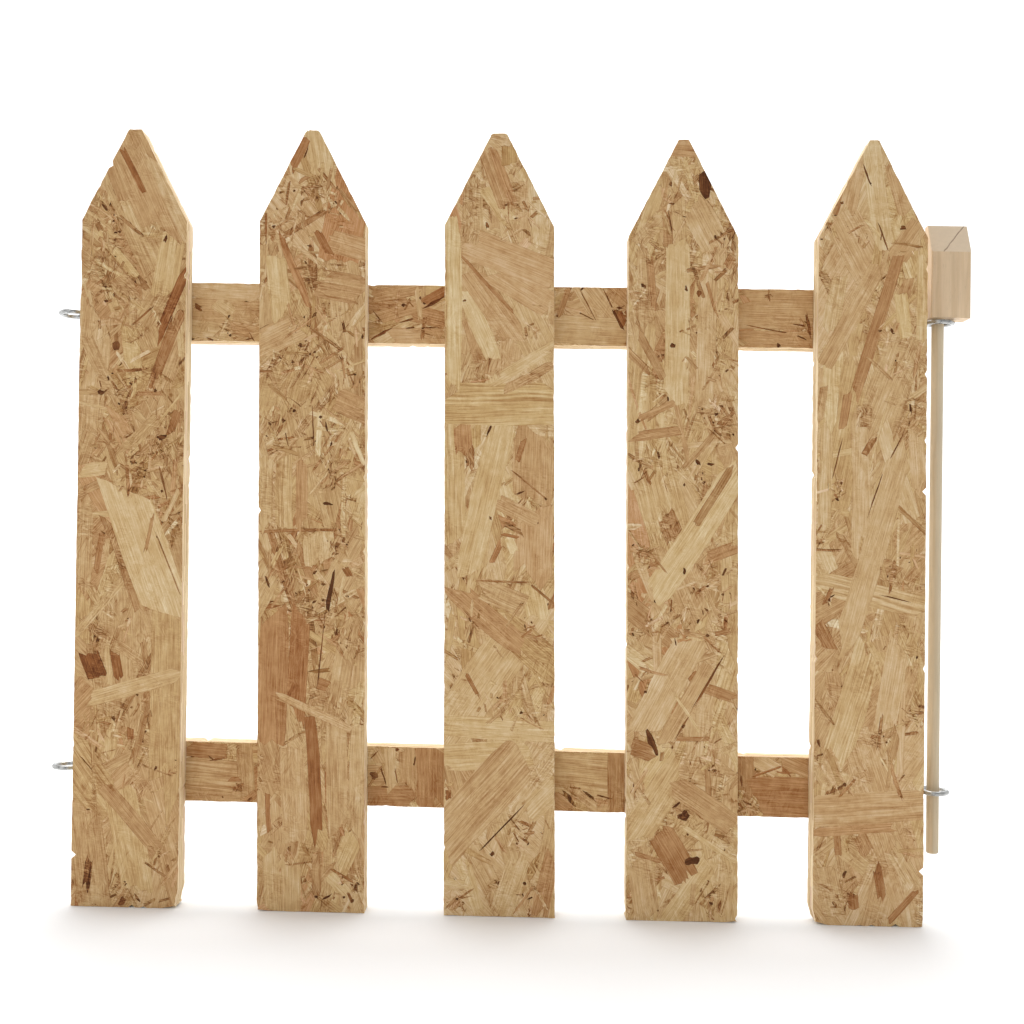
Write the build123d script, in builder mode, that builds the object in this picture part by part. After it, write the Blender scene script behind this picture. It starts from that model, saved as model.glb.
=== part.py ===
from build123d import *
import os
from math import cos, radians, sin, sqrt, tan, degrees, atan2

# Small garden gate: five pointed pickets of oriented strand board on two rails of the
# same board.  Screw eyes stand out of both ends of each rail.  The left pair hangs the
# gate, and a wooden drop pin goes down through the right pair.
#
# Millimetres.  The origin is the centre of the lower left eye's ring.  +X runs along
# the gate to the pin, +Y goes to the back and +Z is up.  The rails are centred on Y = 0.

# --- strand board ---------------------------------------------------------------------
BOARD = 12.0
RAIL_BACK = BOARD / 2
RAIL_FRONT = -BOARD / 2
PICKET_BACK = RAIL_FRONT
FOOT_Z = -67.7

# --- pickets, all cut by hand, so each has its own numbers -------------------------------
TIP_HALF_ANGLE = 26.8
SHOULDER_ROUND = 1.2
# middle of the foot, width, height, lean to the left (degrees), flat on the tip, its round
PICKETS = {
    "picket_1": (38.0, 55.0, 400.0, 0.9, 6.5, 1.0),
    "picket_2": (133.0, 55.0, 401.0, 1.3, 6.5, 2.2),
    "picket_3": (228.9, 56.6, 400.8, 1.2, 8.0, 2.6),
    "picket_4": (321.2, 56.6, 399.2, 0.8, 5.4, 0.8),
    "picket_5": (414.8, 55.8, 400.5, 0.2, 4.8, 0.8),
}

# --- rails ------------------------------------------------------------------------------
RAIL_LENGTH = 434.5
RAIL_HEIGHT = 31.0
# left end, height of the centre line there, its slope up to the right (degrees)
RAILS = {
    "top_rail": (5.6, 239.4, 0.39),
    "bottom_rail": (8.6, 0.0, -0.22),
}

# --- screw eyes, bent from zinc-plated wire ------------------------------------------------
WIRE_R = 1.2
RING_R = 6.5
NECK_BEND_R = 2.4
RING_END_ANGLE = 200.0
PLAIN_IN_WOOD = 2.5
EYE_THREAD = 12.0
EYE_CREST_R = 1.45
EYE_CORE_R = 0.95
EYE_PITCH = 1.2
EYE_HOLE_DEPTH = 17.0
# rail, side (-1 left, +1 right), centre of the ring (X, Z), turn about the shank (degrees)
EYES = {
    "left_lower_eye": ("bottom_rail", -1, (0.0, 0.0), 0.0),
    "left_upper_eye": ("top_rail", -1, (-4.0, 238.5), 2.0),
    "right_lower_eye": ("bottom_rail", 1, (453.2, -2.5), 2.5),
    "right_upper_eye": ("top_rail", 1, (453.6, 242.0), 2.0),
}

# --- countersunk wood screws, two at each crossing, driven from the back --------------------
SCREW_LENGTH = 20.0
HEAD_SINK = 0.12
HEAD_R = 3.28
SHANK_R = 1.55
THREAD_START = 11.5
SCREW_CREST_R = 1.7
SCREW_CORE_R = 1.15
SCREW_PITCH = 1.35
RIDGE_SHARE = 0.5
RECESS_SPAN = 3.8
RECESS_WIDTH = 0.9
RECESS_DEPTH = 1.5
RECESS_TURN = 20.0
CLEARANCE_R = 1.8
COUNTERSINK_R = 3.45
COUNTERSINK_ANGLE = 90.0
PILOT_R = 1.2
PILOT_DEPTH = 9.5
SCREW_OFFSETS = ((-13.0, 6.0), (13.0, -6.0))

# --- drop pin: a dowel with a block on top --------------------------------------------------
PIN_X = 452.7
PIN_R = 3.15
PIN_LENGTH = 300.0
PIN_FOOT_Z = -34.5
PIN_CHAMFER = 0.6
PIN_CLEARANCE = 0.05
HEAD_WIDTH = 20.5
HEAD_DEPTH = 12.0
HEAD_HEIGHT = 50.1
HEAD_FOOT_Z = 243.9
HEAD_OUTBOARD = 4.9
FACET_HEIGHT = 15.4
FACET_DEPTH = 7.0
HEAD_EDGE = 0.5


def rail_z(rail, x):
    """Height of a rail's centre line at x."""
    left, height, slope = RAILS[rail]
    return height + (x - left) * tan(radians(slope))


def rail_plane(rail, along, y, out):
    """Plane on a rail's centre line, its normal along Y (out = +1 back, -1 front)."""
    left, height, slope = RAILS[rail]
    run = Vector(cos(radians(slope)), 0, sin(radians(slope)))
    origin = Vector(left, y, height) + run * along
    return Plane(origin=origin, x_dir=run, z_dir=(0, out, 0))


def crossing(picket, rail):
    """Where a picket's centre line meets a rail's centre line, as X and Z."""
    centre, _, _, lean, _, _ = PICKETS[picket]
    x = centre - (rail_z(rail, centre) - FOOT_Z) * tan(radians(lean))
    return x, rail_z(rail, x)


def screw_points(picket, rail):
    """X and Z of the two screws at a crossing."""
    x, z = crossing(picket, rail)
    return [(x + dx, z + dz) for dx, dz in SCREW_OFFSETS]


def picket_outline(picket):
    """Corners of a picket seen from the front, from the left of the foot round to the right."""
    centre, width, height, lean, flat, _ = PICKETS[picket]
    shoulder = height - (width - flat) / 2 / tan(radians(TIP_HALF_ANGLE))
    half_outline = [(width / 2, 0.0), (width / 2, shoulder), (flat / 2, height)]
    left = [(-u, v) for u, v in half_outline]
    right = list(reversed(half_outline))
    slant = tan(radians(lean))
    return [(centre + u - v * slant, FOOT_Z + v) for u, v in left + right]


def thread_profile(start, end, core, crest, pitch):
    """Radius of a threaded shank against depth, as points from start to its pointed end."""
    points = [(start, core)]
    turns = int((end - start - 2 * core) / pitch)
    for turn in range(turns):
        ridge = start + (turn + 0.5) * pitch
        foot = RIDGE_SHARE / 2 * pitch
        points += [(ridge - foot, core), (ridge, crest), (ridge + foot, core)]
    points += [(end - 2 * core, core), (end, 0)]
    return points


os.makedirs("parts", exist_ok=True)

# --- pickets: pointed boards, with blind pilot holes in the back for the screws --------------
for name, (*_, tip_round) in PICKETS.items():
    with BuildPart() as picket:
        with BuildSketch(Plane.XZ.offset(-PICKET_BACK)) as outline:
            with BuildLine():
                Polyline(*picket_outline(name), close=True)
            make_face()
            corners = outline.vertices().sort_by(Axis.Y)
            fillet(corners[-2:], tip_round)
            fillet(corners[2:4], SHOULDER_ROUND)
        extrude(amount=BOARD)
        with BuildSketch(Plane.XZ.offset(-PICKET_BACK)):
            for rail in RAILS:
                with Locations(*screw_points(name, rail)):
                    Circle(PILOT_R)
        extrude(amount=PILOT_DEPTH, mode=Mode.SUBTRACT)
    picket.part.label = name
    export_step(picket.part, f"parts/{name}.step")

# --- rails: straight boards with screw holes through them and an eye's hole in each end -------
for name, (left, _, slope) in RAILS.items():
    with BuildPart() as rail_board:
        with BuildSketch(rail_plane(name, 0, RAIL_BACK, -1)):
            Rectangle(RAIL_LENGTH, RAIL_HEIGHT, align=(Align.MIN, Align.CENTER))
        extrude(amount=BOARD)
        for picket_name in PICKETS:
            for x, z in screw_points(picket_name, name):
                with Locations(Plane(origin=(x, RAIL_BACK, z), z_dir=(0, 1, 0))):
                    CounterSinkHole(CLEARANCE_R, COUNTERSINK_R, BOARD, COUNTERSINK_ANGLE)
        for rail, side, (ring_x, ring_z), _ in EYES.values():
            if rail == name:
                out = Vector(side * cos(radians(slope)), 0, side * sin(radians(slope)))
                end = rail_plane(name, 0 if side < 0 else RAIL_LENGTH, 0, 1).origin
                drop = ring_z - rail_z(name, ring_x)
                mouth = end + Vector(0, 0, drop)
                with Locations(Plane(origin=mouth, x_dir=(0, 1, 0), z_dir=out)):
                    Hole(WIRE_R, EYE_HOLE_DEPTH)
    rail_board.part.label = name
    export_step(rail_board.part, f"parts/{name}.step")

# --- screw eyes: a threaded shank, a neck bend and a ring that stops just short of it ---------
for name, (rail, side, (ring_x, ring_z), turn) in EYES.items():
    slope = RAILS[rail][2]
    out = Vector(side * cos(radians(slope)), 0, side * sin(radians(slope)))
    up = Vector(0, 0, 1).rotate(Axis.Y, -slope).rotate(Axis((0, 0, 0), out), turn)
    ring_plane = Plane(origin=(ring_x, 0, ring_z), x_dir=out, z_dir=up)
    end = rail_plane(rail, 0 if side < 0 else RAIL_LENGTH, 0, 1).origin
    reach = side * (ring_x - end.X)
    neck_x = -sqrt(RING_R**2 + 2 * RING_R * NECK_BEND_R)
    neck_angle = degrees(atan2(NECK_BEND_R, neck_x))
    thread_start = reach + PLAIN_IN_WOOD
    thread_end = thread_start + EYE_THREAD
    with BuildPart() as eye:
        with BuildLine(ring_plane) as wire:
            shank = Line((-thread_start, 0), (neck_x, 0))
            CenterArc((neck_x, NECK_BEND_R), NECK_BEND_R, -90, neck_angle - 90)
            CenterArc((0, 0), RING_R, neck_angle, -(neck_angle + 360 - RING_END_ANGLE))
        with BuildSketch(Plane(origin=shank @ 0, z_dir=shank % 0)):
            Circle(WIRE_R)
        sweep(path=wire.line)
        with BuildSketch(ring_plane):
            with BuildLine():
                ridges = thread_profile(
                    thread_start, thread_end, EYE_CORE_R, EYE_CREST_R, EYE_PITCH
                )
                shank_side = [(-depth, radius) for depth, radius in ridges]
                overlap = -thread_start + WIRE_R
                Polyline((overlap, 0), (overlap, EYE_CORE_R), *shank_side, close=True)
            make_face()
        revolve(axis=Axis((ring_x, 0, ring_z), out))
    eye.part.label = name
    export_step(eye.part, f"parts/{name}.step")

# --- screws: two of them at each crossing, in one node ------------------------------------------
for picket_name in PICKETS:
    for rail in RAILS:
        name = f"{picket_name}_{rail.split('_')[0]}_screws"
        with BuildPart() as screws:
            for x, z in screw_points(picket_name, rail):
                with BuildSketch(Plane(origin=(x, RAIL_BACK, z), x_dir=(0, -1, 0), z_dir=(1, 0, 0))):
                    with BuildLine():
                        under_head = HEAD_SINK + HEAD_R - SHANK_R
                        ridges = thread_profile(
                            THREAD_START, SCREW_LENGTH, SCREW_CORE_R, SCREW_CREST_R, SCREW_PITCH
                        )
                        Polyline(
                            (HEAD_SINK, 0),
                            (HEAD_SINK, HEAD_R),
                            (under_head, SHANK_R),
                            (THREAD_START, SHANK_R),
                            *ridges,
                            close=True,
                        )
                    make_face()
                revolve(axis=Axis((x, RAIL_BACK, z), (0, 1, 0)))
                face_of_head = Plane(origin=(x, RAIL_BACK - HEAD_SINK, z), z_dir=(0, -1, 0))
                with BuildSketch(face_of_head):
                    Rectangle(RECESS_SPAN, RECESS_WIDTH, rotation=RECESS_TURN)
                    Rectangle(RECESS_WIDTH, RECESS_SPAN, rotation=RECESS_TURN)
                extrude(amount=RECESS_DEPTH, mode=Mode.SUBTRACT)
        screws.part.label = name
        export_step(screws.part, f"parts/{name}.step")

# --- drop pin's dowel ------------------------------------------------------------------------
with BuildPart() as pin_rod:
    with BuildSketch(Plane(origin=(PIN_X, 0, PIN_FOOT_Z))):
        Circle(PIN_R)
    extrude(amount=PIN_LENGTH)
    chamfer(pin_rod.edges().group_by(Axis.Z)[0], PIN_CHAMFER)
pin_rod.part.label = "pin_rod"
export_step(pin_rod.part, "parts/pin_rod.step")

# --- drop pin's block: its front slopes back at the top, and it rests on the upper eye ----------
head_top = HEAD_FOOT_Z + HEAD_HEIGHT
socket_depth = PIN_FOOT_Z + PIN_LENGTH + PIN_CLEARANCE - HEAD_FOOT_Z
with BuildPart() as pin_head:
    with BuildSketch(Plane(origin=(PIN_X + HEAD_OUTBOARD, 0, HEAD_FOOT_Z))):
        Rectangle(HEAD_WIDTH, HEAD_DEPTH)
    extrude(amount=HEAD_HEIGHT)
    with BuildSketch(Plane.YZ.offset(PIN_X + HEAD_OUTBOARD)):
        with BuildLine():
            Polyline(
                (-HEAD_DEPTH / 2, head_top - FACET_HEIGHT),
                (-HEAD_DEPTH / 2 + FACET_DEPTH, head_top),
                (-HEAD_DEPTH / 2, head_top),
                close=True,
            )
        make_face()
    extrude(amount=HEAD_WIDTH, both=True, mode=Mode.SUBTRACT)
    chamfer(pin_head.edges().filter_by(Axis.Z), HEAD_EDGE)
    with BuildSketch(Plane(origin=(PIN_X, 0, HEAD_FOOT_Z))):
        Circle(PIN_R + PIN_CLEARANCE)
    extrude(amount=socket_depth, mode=Mode.SUBTRACT)
pin_head.part.label = "pin_head"
export_step(pin_head.part, "parts/pin_head.step")
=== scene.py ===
import math

import bmesh
import bpy
import numpy as np
from mathutils import Matrix, Vector
from mathutils.bvhtree import BVHTree
from mathutils.geometry import delaunay_2d_cdt


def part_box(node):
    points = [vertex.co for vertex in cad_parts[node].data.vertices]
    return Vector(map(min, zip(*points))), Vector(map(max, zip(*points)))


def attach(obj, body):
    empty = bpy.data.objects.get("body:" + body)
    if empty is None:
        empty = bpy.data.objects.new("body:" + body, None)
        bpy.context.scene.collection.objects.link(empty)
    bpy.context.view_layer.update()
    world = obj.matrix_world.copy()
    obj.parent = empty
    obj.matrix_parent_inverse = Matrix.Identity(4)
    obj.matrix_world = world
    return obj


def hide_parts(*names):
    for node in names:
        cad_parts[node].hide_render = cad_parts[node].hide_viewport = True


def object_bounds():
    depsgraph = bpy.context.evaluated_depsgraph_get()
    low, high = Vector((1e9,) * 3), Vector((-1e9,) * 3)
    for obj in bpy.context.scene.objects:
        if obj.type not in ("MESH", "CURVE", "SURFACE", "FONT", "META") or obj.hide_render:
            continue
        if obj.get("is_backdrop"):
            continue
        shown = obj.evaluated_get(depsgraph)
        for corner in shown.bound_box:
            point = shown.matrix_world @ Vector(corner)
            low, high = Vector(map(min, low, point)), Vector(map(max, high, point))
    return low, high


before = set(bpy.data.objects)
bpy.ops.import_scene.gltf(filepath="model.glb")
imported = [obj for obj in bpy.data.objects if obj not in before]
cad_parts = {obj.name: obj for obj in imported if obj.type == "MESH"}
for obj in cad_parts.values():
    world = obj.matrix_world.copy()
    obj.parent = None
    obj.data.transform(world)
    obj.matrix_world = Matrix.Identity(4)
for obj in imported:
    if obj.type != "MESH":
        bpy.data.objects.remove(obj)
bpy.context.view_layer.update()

bl_info = {
    "name": "Strand Board Garden Gate",
    "version": (1, 0, 0),
    "blender": (4, 5, 0),
    "location": "View3D > Sidebar > Garden Gate",
    "description": "Pressed-strand pickets and rails, zinc eyes and a drop pin on a fixed gate frame",
    "category": "Add Mesh",
}

MM = 0.001
PICKETS = [f"picket_{i}" for i in range(1, 6)]
RAILS = ["top_rail", "bottom_rail"]
EYES = ["left_upper_eye", "left_lower_eye", "right_upper_eye", "right_lower_eye"]
SCREWS = [f"{p}_{r}_screws" for p in PICKETS for r in ("top", "bottom")]
FIRST_SEED, FIRST_RAIL = 100, 10

# How the boards are cut up and sunk, in millimetres apart from the counts, tone and share
SAW_PACE = 2.0
FACE_INSET = 0.3
RIM_SINK = 0.25
WELD = 0.012
ROUND_SIDES = 32
LAYER_SPREAD = 40
EDGE_PATCHES = 200
# listed marks darker than HOLE_TONE and narrower than HOLE_WIDTH are sunk as holes, their dark tone
# painted shade
HOLE_TONE, HOLE_WIDTH, HOLE_LEVEL = 0.35, 8, 0.35
SCREW_HEAD_R, SINK_PLAY, SINK_DEPTH, SINK_NARROWING = 3.28, 0.17, 1.3, 0.62


# --- settings a user would change ---------------------------------------------------------


class GateBoardSettings(bpy.types.PropertyGroup):
    flakes: bpy.props.IntProperty(
        name="Flakes", description="Wide flakes on each face of a picket", default=60, min=0
    )
    slivers: bpy.props.IntProperty(
        name="Slivers", description="Narrow strands on each face of a picket", default=230, min=0
    )
    crumbs: bpy.props.IntProperty(
        name="Crumbs", description="Short broken bits on each face of a picket", default=420, min=0
    )
    voids: bpy.props.IntProperty(
        name="Voids", description="Small holes on each face of a picket", default=60, min=0
    )
    lip: bpy.props.FloatProperty(
        name="Strand edge", description="Width of the slope at a strand's edge",
        default=0.26 * MM, unit="LENGTH", precision=5,
    )
    relief: bpy.props.FloatProperty(
        name="Relief", description="How far the strands stand over each other",
        default=0.20 * MM, unit="LENGTH", precision=5,
    )
    saw_wander: bpy.props.FloatProperty(
        name="Saw wander", description="How ragged the sawn edges are",
        default=0.22 * MM, unit="LENGTH", precision=5,
    )
    layers: bpy.props.IntProperty(
        name="Layers", description="Strand layers seen on a sawn edge", default=13, min=4
    )
    pale: bpy.props.FloatVectorProperty(
        name="Pale wood", description="Fresh pale strands", subtype="COLOR",
        default=(0.84, 0.71, 0.49), min=0, max=1,
    )
    tan: bpy.props.FloatVectorProperty(
        name="Tan wood", description="Most of the strands", subtype="COLOR",
        default=(0.590, 0.392, 0.188), min=0, max=1,
    )
    brown: bpy.props.FloatVectorProperty(
        name="Brown wood", description="Darker strands", subtype="COLOR",
        default=(0.345, 0.165, 0.060), min=0, max=1,
    )
    dark: bpy.props.FloatVectorProperty(
        name="Dark wood", description="Holes and bark", subtype="COLOR",
        default=(0.15, 0.056, 0.020), min=0, max=1,
    )
    red: bpy.props.FloatVectorProperty(
        name="Red cast", description="What red strands are tinted with", subtype="COLOR",
        default=(0.84, 0.62, 0.52), min=0, max=1,
    )


class GateMetalSettings(bpy.types.PropertyGroup):
    # the zinc colour is set darker than bright plating, as painted shade for dark reflections that the
    # pale room lacks
    zinc: bpy.props.FloatVectorProperty(
        name="Zinc", description="Colour of the zinc plating", subtype="COLOR",
        default=(0.40, 0.40, 0.39), min=0, max=1,
    )
    roughness: bpy.props.FloatProperty(
        name="Roughness", description="How dull the plating is", default=0.26, min=0, max=1
    )


class GatePinSettings(bpy.types.PropertyGroup):
    block: bpy.props.FloatVectorProperty(
        name="Block", description="Planed pine of the block", subtype="COLOR",
        default=(0.71, 0.535, 0.35), min=0, max=1,
    )
    dowel: bpy.props.FloatVectorProperty(
        name="Dowel", description="Turned wood of the dowel", subtype="COLOR",
        default=(0.61, 0.505, 0.35), min=0, max=1,
    )


class GateStageSettings(bpy.types.PropertyGroup):
    camera_at: bpy.props.FloatVectorProperty(
        name="Camera", description="Where the camera stands", subtype="TRANSLATION",
        default=(0.2396, -0.6299, 0.1196),
    )
    camera_turn: bpy.props.FloatVectorProperty(
        name="Camera turn", description="Camera's pitch up, roll and yaw to the left",
        subtype="EULER", default=(math.radians(1.681), math.radians(-1.207), math.radians(0.798)),
    )
    lens: bpy.props.FloatProperty(
        name="Lens", description="Focal length on a 36 mm sensor, in millimetres", default=42.1
    )
    floor: bpy.props.FloatVectorProperty(
        name="Floor", description="Colour of the floor", subtype="COLOR",
        default=(0.955, 0.965, 0.975), min=0, max=1,
    )
    light: bpy.props.FloatProperty(
        name="Light", description="Strength of the studio lights", default=1.0, min=0
    )


SETTINGS = {
    "gate_board": GateBoardSettings,
    "gate_metal": GateMetalSettings,
    "gate_pin": GatePinSettings,
    "gate_stage": GateStageSettings,
}


# --- nodes ----------------------------------------------------------------------------------


def node(tree, kind, inputs=None, **settings):
    """Adds a node, sets its properties and plugs in or sets its inputs by name or number."""
    made = tree.nodes.new(kind)
    for name, value in settings.items():
        setattr(made, name, value)
    for key, value in (inputs or {}).items():
        socket = made.inputs[key]
        if isinstance(value, bpy.types.NodeSocket):
            tree.links.new(value, socket)
        else:
            socket.default_value = value
    return made


def maths(tree, operation, a, b=0.0, clamp=False):
    made = node(tree, "ShaderNodeMath", {0: a, 1: b}, operation=operation, use_clamp=clamp)
    return made.outputs[0]


def span(tree, value, low, high, to_low=0.0, to_high=1.0):
    """Maps value from low..high to to_low..to_high, clamped."""
    made = node(
        tree, "ShaderNodeMapRange",
        {"Value": value, "From Min": low, "From Max": high, "To Min": to_low, "To Max": to_high},
    )
    return made.outputs["Result"]


def mix(tree, factor, a, b, blend_type="MIX"):
    """Mixes two colours."""
    made = node(tree, "ShaderNodeMix", data_type="RGBA", blend_type=blend_type)
    for socket, value in zip((made.inputs[0], made.inputs[6], made.inputs[7]), (factor, a, b)):
        if isinstance(value, bpy.types.NodeSocket):
            tree.links.new(value, socket)
        else:
            socket.default_value = (*value, 1.0) if hasattr(value, "__len__") else value
    return made.outputs[2]


def stretched(tree, vector, scale):
    """A vector scaled by its own amount along each axis."""
    made = node(tree, "ShaderNodeVectorMath", {0: vector, 1: scale}, operation="MULTIPLY")
    return made.outputs[0]


def noise(tree, vector, detail=2.0, rough=0.5, w=None, distortion=0.0):
    """Noise at the vector's own scale, as a value around a half."""
    inputs = {"Vector": vector, "Scale": 1.0, "Detail": detail, "Roughness": rough}
    inputs["Distortion"] = distortion
    if w is not None:
        inputs["W"] = w
    made = node(
        tree, "ShaderNodeTexNoise", inputs, noise_dimensions="3D" if w is None else "4D"
    )
    return made.outputs["Fac"]


def group(name, inputs, outputs):
    """A new shader node group with its sockets; gives the tree and its two end nodes."""
    tree = bpy.data.node_groups.new(name, "ShaderNodeTree")
    kinds = {"value": "NodeSocketFloat", "vector": "NodeSocketVector", "colour": "NodeSocketColor"}
    for socket, (kind, default) in inputs.items():
        made = tree.interface.new_socket(socket, in_out="INPUT", socket_type=kinds[kind])
        if default is not None:
            made.default_value = default
    for socket, kind in outputs.items():
        tree.interface.new_socket(socket, in_out="OUTPUT", socket_type=kinds[kind])
    return tree, tree.nodes.new("NodeGroupInput"), tree.nodes.new("NodeGroupOutput")


def use_group(tree, name, inputs):
    made = node(tree, "ShaderNodeGroup", node_tree=bpy.data.node_groups[name])
    for key, value in inputs.items():
        if isinstance(value, bpy.types.NodeSocket):
            tree.links.new(value, made.inputs[key])
        else:
            made.inputs[key].default_value = value
    return made


def build_wood_grain():
    """Long grain: growth bands, fine fibres and short pores along X, across Y, in metres."""
    tree, start, end = group(
        "wood grain",
        {"Vector": ("vector", None), "Seed": ("value", 0.0), "Band width": ("value", 2.2 * MM),
         "Waviness": ("value", 1.0)},
        {"Bands": "value", "Fibres": "value", "Pores": "value", "Cloud": "value"},
    )
    vector, seed = start.outputs["Vector"], start.outputs["Seed"]
    wave = noise(tree, stretched(tree, vector, (28.0, 60.0, 60.0)), 1.0, w=seed)
    sway = maths(tree, "MULTIPLY", maths(tree, "SUBTRACT", wave, 0.5), start.outputs["Waviness"])
    split = node(tree, "ShaderNodeSeparateXYZ", {0: vector})
    across = maths(tree, "ADD", split.outputs[1], maths(tree, "MULTIPLY", sway, 6.0 * MM))
    turns = maths(tree, "DIVIDE", across, start.outputs["Band width"])
    along = maths(tree, "MULTIPLY", split.outputs[0], 9.0)
    depth = maths(tree, "MULTIPLY", split.outputs[2], 300.0)
    place = node(tree, "ShaderNodeCombineXYZ", {0: along, 1: turns, 2: depth}).outputs[0]
    bands = noise(tree, place, 1.0, w=seed)
    fibres = noise(tree, stretched(tree, vector, (60.0, 1700.0, 1700.0)), 4.0, 0.65, w=seed)
    pore_field = noise(tree, stretched(tree, vector, (260.0, 2300.0, 2300.0)), 1.0, w=seed)
    cloud = noise(tree, stretched(tree, vector, (30.0, 110.0, 110.0)), 3.0, w=seed)
    tree.links.new(span(tree, bands, 0.36, 0.64), end.inputs["Bands"])
    tree.links.new(span(tree, fibres, 0.25, 0.75), end.inputs["Fibres"])
    tree.links.new(span(tree, pore_field, 0.66, 0.76), end.inputs["Pores"])
    tree.links.new(span(tree, cloud, 0.25, 0.75), end.inputs["Cloud"])


def build_dust():
    """Fine sawdust and grime in the surface, on object coordinates."""
    tree, start, end = group(
        "dust", {"Vector": ("vector", None), "Amount": ("value", 0.3)}, {"Specks": "value",
                                                                         "Grime": "value"}
    )
    vector = start.outputs["Vector"]
    fine = noise(tree, stretched(tree, vector, (2600.0, 2600.0, 2600.0)), 1.0)
    broad = noise(tree, stretched(tree, vector, (38.0, 38.0, 38.0)), 4.0, 0.6)
    specks = maths(tree, "MULTIPLY", span(tree, fine, 0.66, 0.74), start.outputs["Amount"])
    grime = maths(tree, "MULTIPLY", span(tree, broad, 0.48, 0.72), start.outputs["Amount"])
    tree.links.new(specks, end.inputs["Specks"])
    tree.links.new(grime, end.inputs["Grime"])


def build_chips():
    """Fine splinters that fill a torn surface: each has its own tone and a thin edge of painted shade.
    """
    tree, start, end = group(
        "splinters", {"Vector": ("vector", None), "Angle": ("value", 0.0),
                      "Length": ("value", 9 * MM), "Width": ("value", 1.1 * MM)},
        {"Tone": "value", "Edge": "value", "Crack": "value"},
    )
    turned = node(
        tree, "ShaderNodeVectorRotate",
        {"Vector": start.outputs["Vector"], "Angle": start.outputs["Angle"]},
        rotation_type="Z_AXIS",
    ).outputs[0]
    size = node(
        tree, "ShaderNodeCombineXYZ",
        {0: start.outputs["Length"], 1: start.outputs["Width"], 2: 1.0},
    ).outputs[0]
    place = node(tree, "ShaderNodeVectorMath", {0: turned, 1: size}, operation="DIVIDE").outputs[0]
    bend = node(
        tree, "ShaderNodeTexNoise", {"Vector": place, "Scale": 0.9, "Detail": 2.0},
        noise_dimensions="2D",
    ).outputs["Color"]
    place = node(
        tree, "ShaderNodeVectorMath", {0: bend, 1: (0.9, 0.9, 0.0), 2: place},
        operation="MULTIPLY_ADD",
    ).outputs[0]
    cell = node(
        tree, "ShaderNodeTexVoronoi", {"Vector": place, "Scale": 1.0}, voronoi_dimensions="2D"
    ).outputs["Color"]
    rim = node(
        tree, "ShaderNodeTexVoronoi", {"Vector": place, "Scale": 1.0}, voronoi_dimensions="2D",
        feature="DISTANCE_TO_EDGE",
    ).outputs["Distance"]
    random = node(tree, "ShaderNodeSeparateColor", {0: cell})
    split = maths(tree, "GREATER_THAN", random.outputs[1], 0.74)
    crack = maths(tree, "MULTIPLY", split, span(tree, rim, 0.0, 0.10, 1.0, 0.0))
    tree.links.new(random.outputs[0], end.inputs["Tone"])
    tree.links.new(span(tree, rim, 0.0, 0.2), end.inputs["Edge"])
    tree.links.new(crack, end.inputs["Crack"])


def new_material(name):
    """An empty material with its Principled shader; gives the material, tree and shader."""
    material = bpy.data.materials.new(name)
    material.use_nodes = True
    tree = material.node_tree
    tree.nodes.clear()
    shader = node(tree, "ShaderNodeBsdfPrincipled")
    node(tree, "ShaderNodeOutputMaterial", {"Surface": shader.outputs[0]})
    return material, tree, shader


def finish_shader(tree, shader, colour, rough, height, depth):
    """Plugs colour, roughness and a bump of the given depth into the shader."""
    tree.links.new(colour, shader.inputs["Base Color"])
    tree.links.new(rough, shader.inputs["Roughness"])
    bump = node(tree, "ShaderNodeBump", {"Height": height, "Distance": depth, "Strength": 1.0})
    tree.links.new(bump.outputs[0], shader.inputs["Normal"])


def face_place(tree):
    """Object coordinates flattened onto a board's face, front and back apart."""
    place = node(tree, "ShaderNodeTexCoord").outputs["Object"]
    split = node(tree, "ShaderNodeSeparateXYZ", {0: place})
    side = maths(tree, "MULTIPLY", maths(tree, "GREATER_THAN", split.outputs[1], -6 * MM), 7.0)
    x = maths(tree, "ADD", split.outputs[0], side)
    flat = node(tree, "ShaderNodeCombineXYZ", {0: x, 1: split.outputs[2], 2: 0.0}).outputs[0]
    return place, flat


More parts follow.
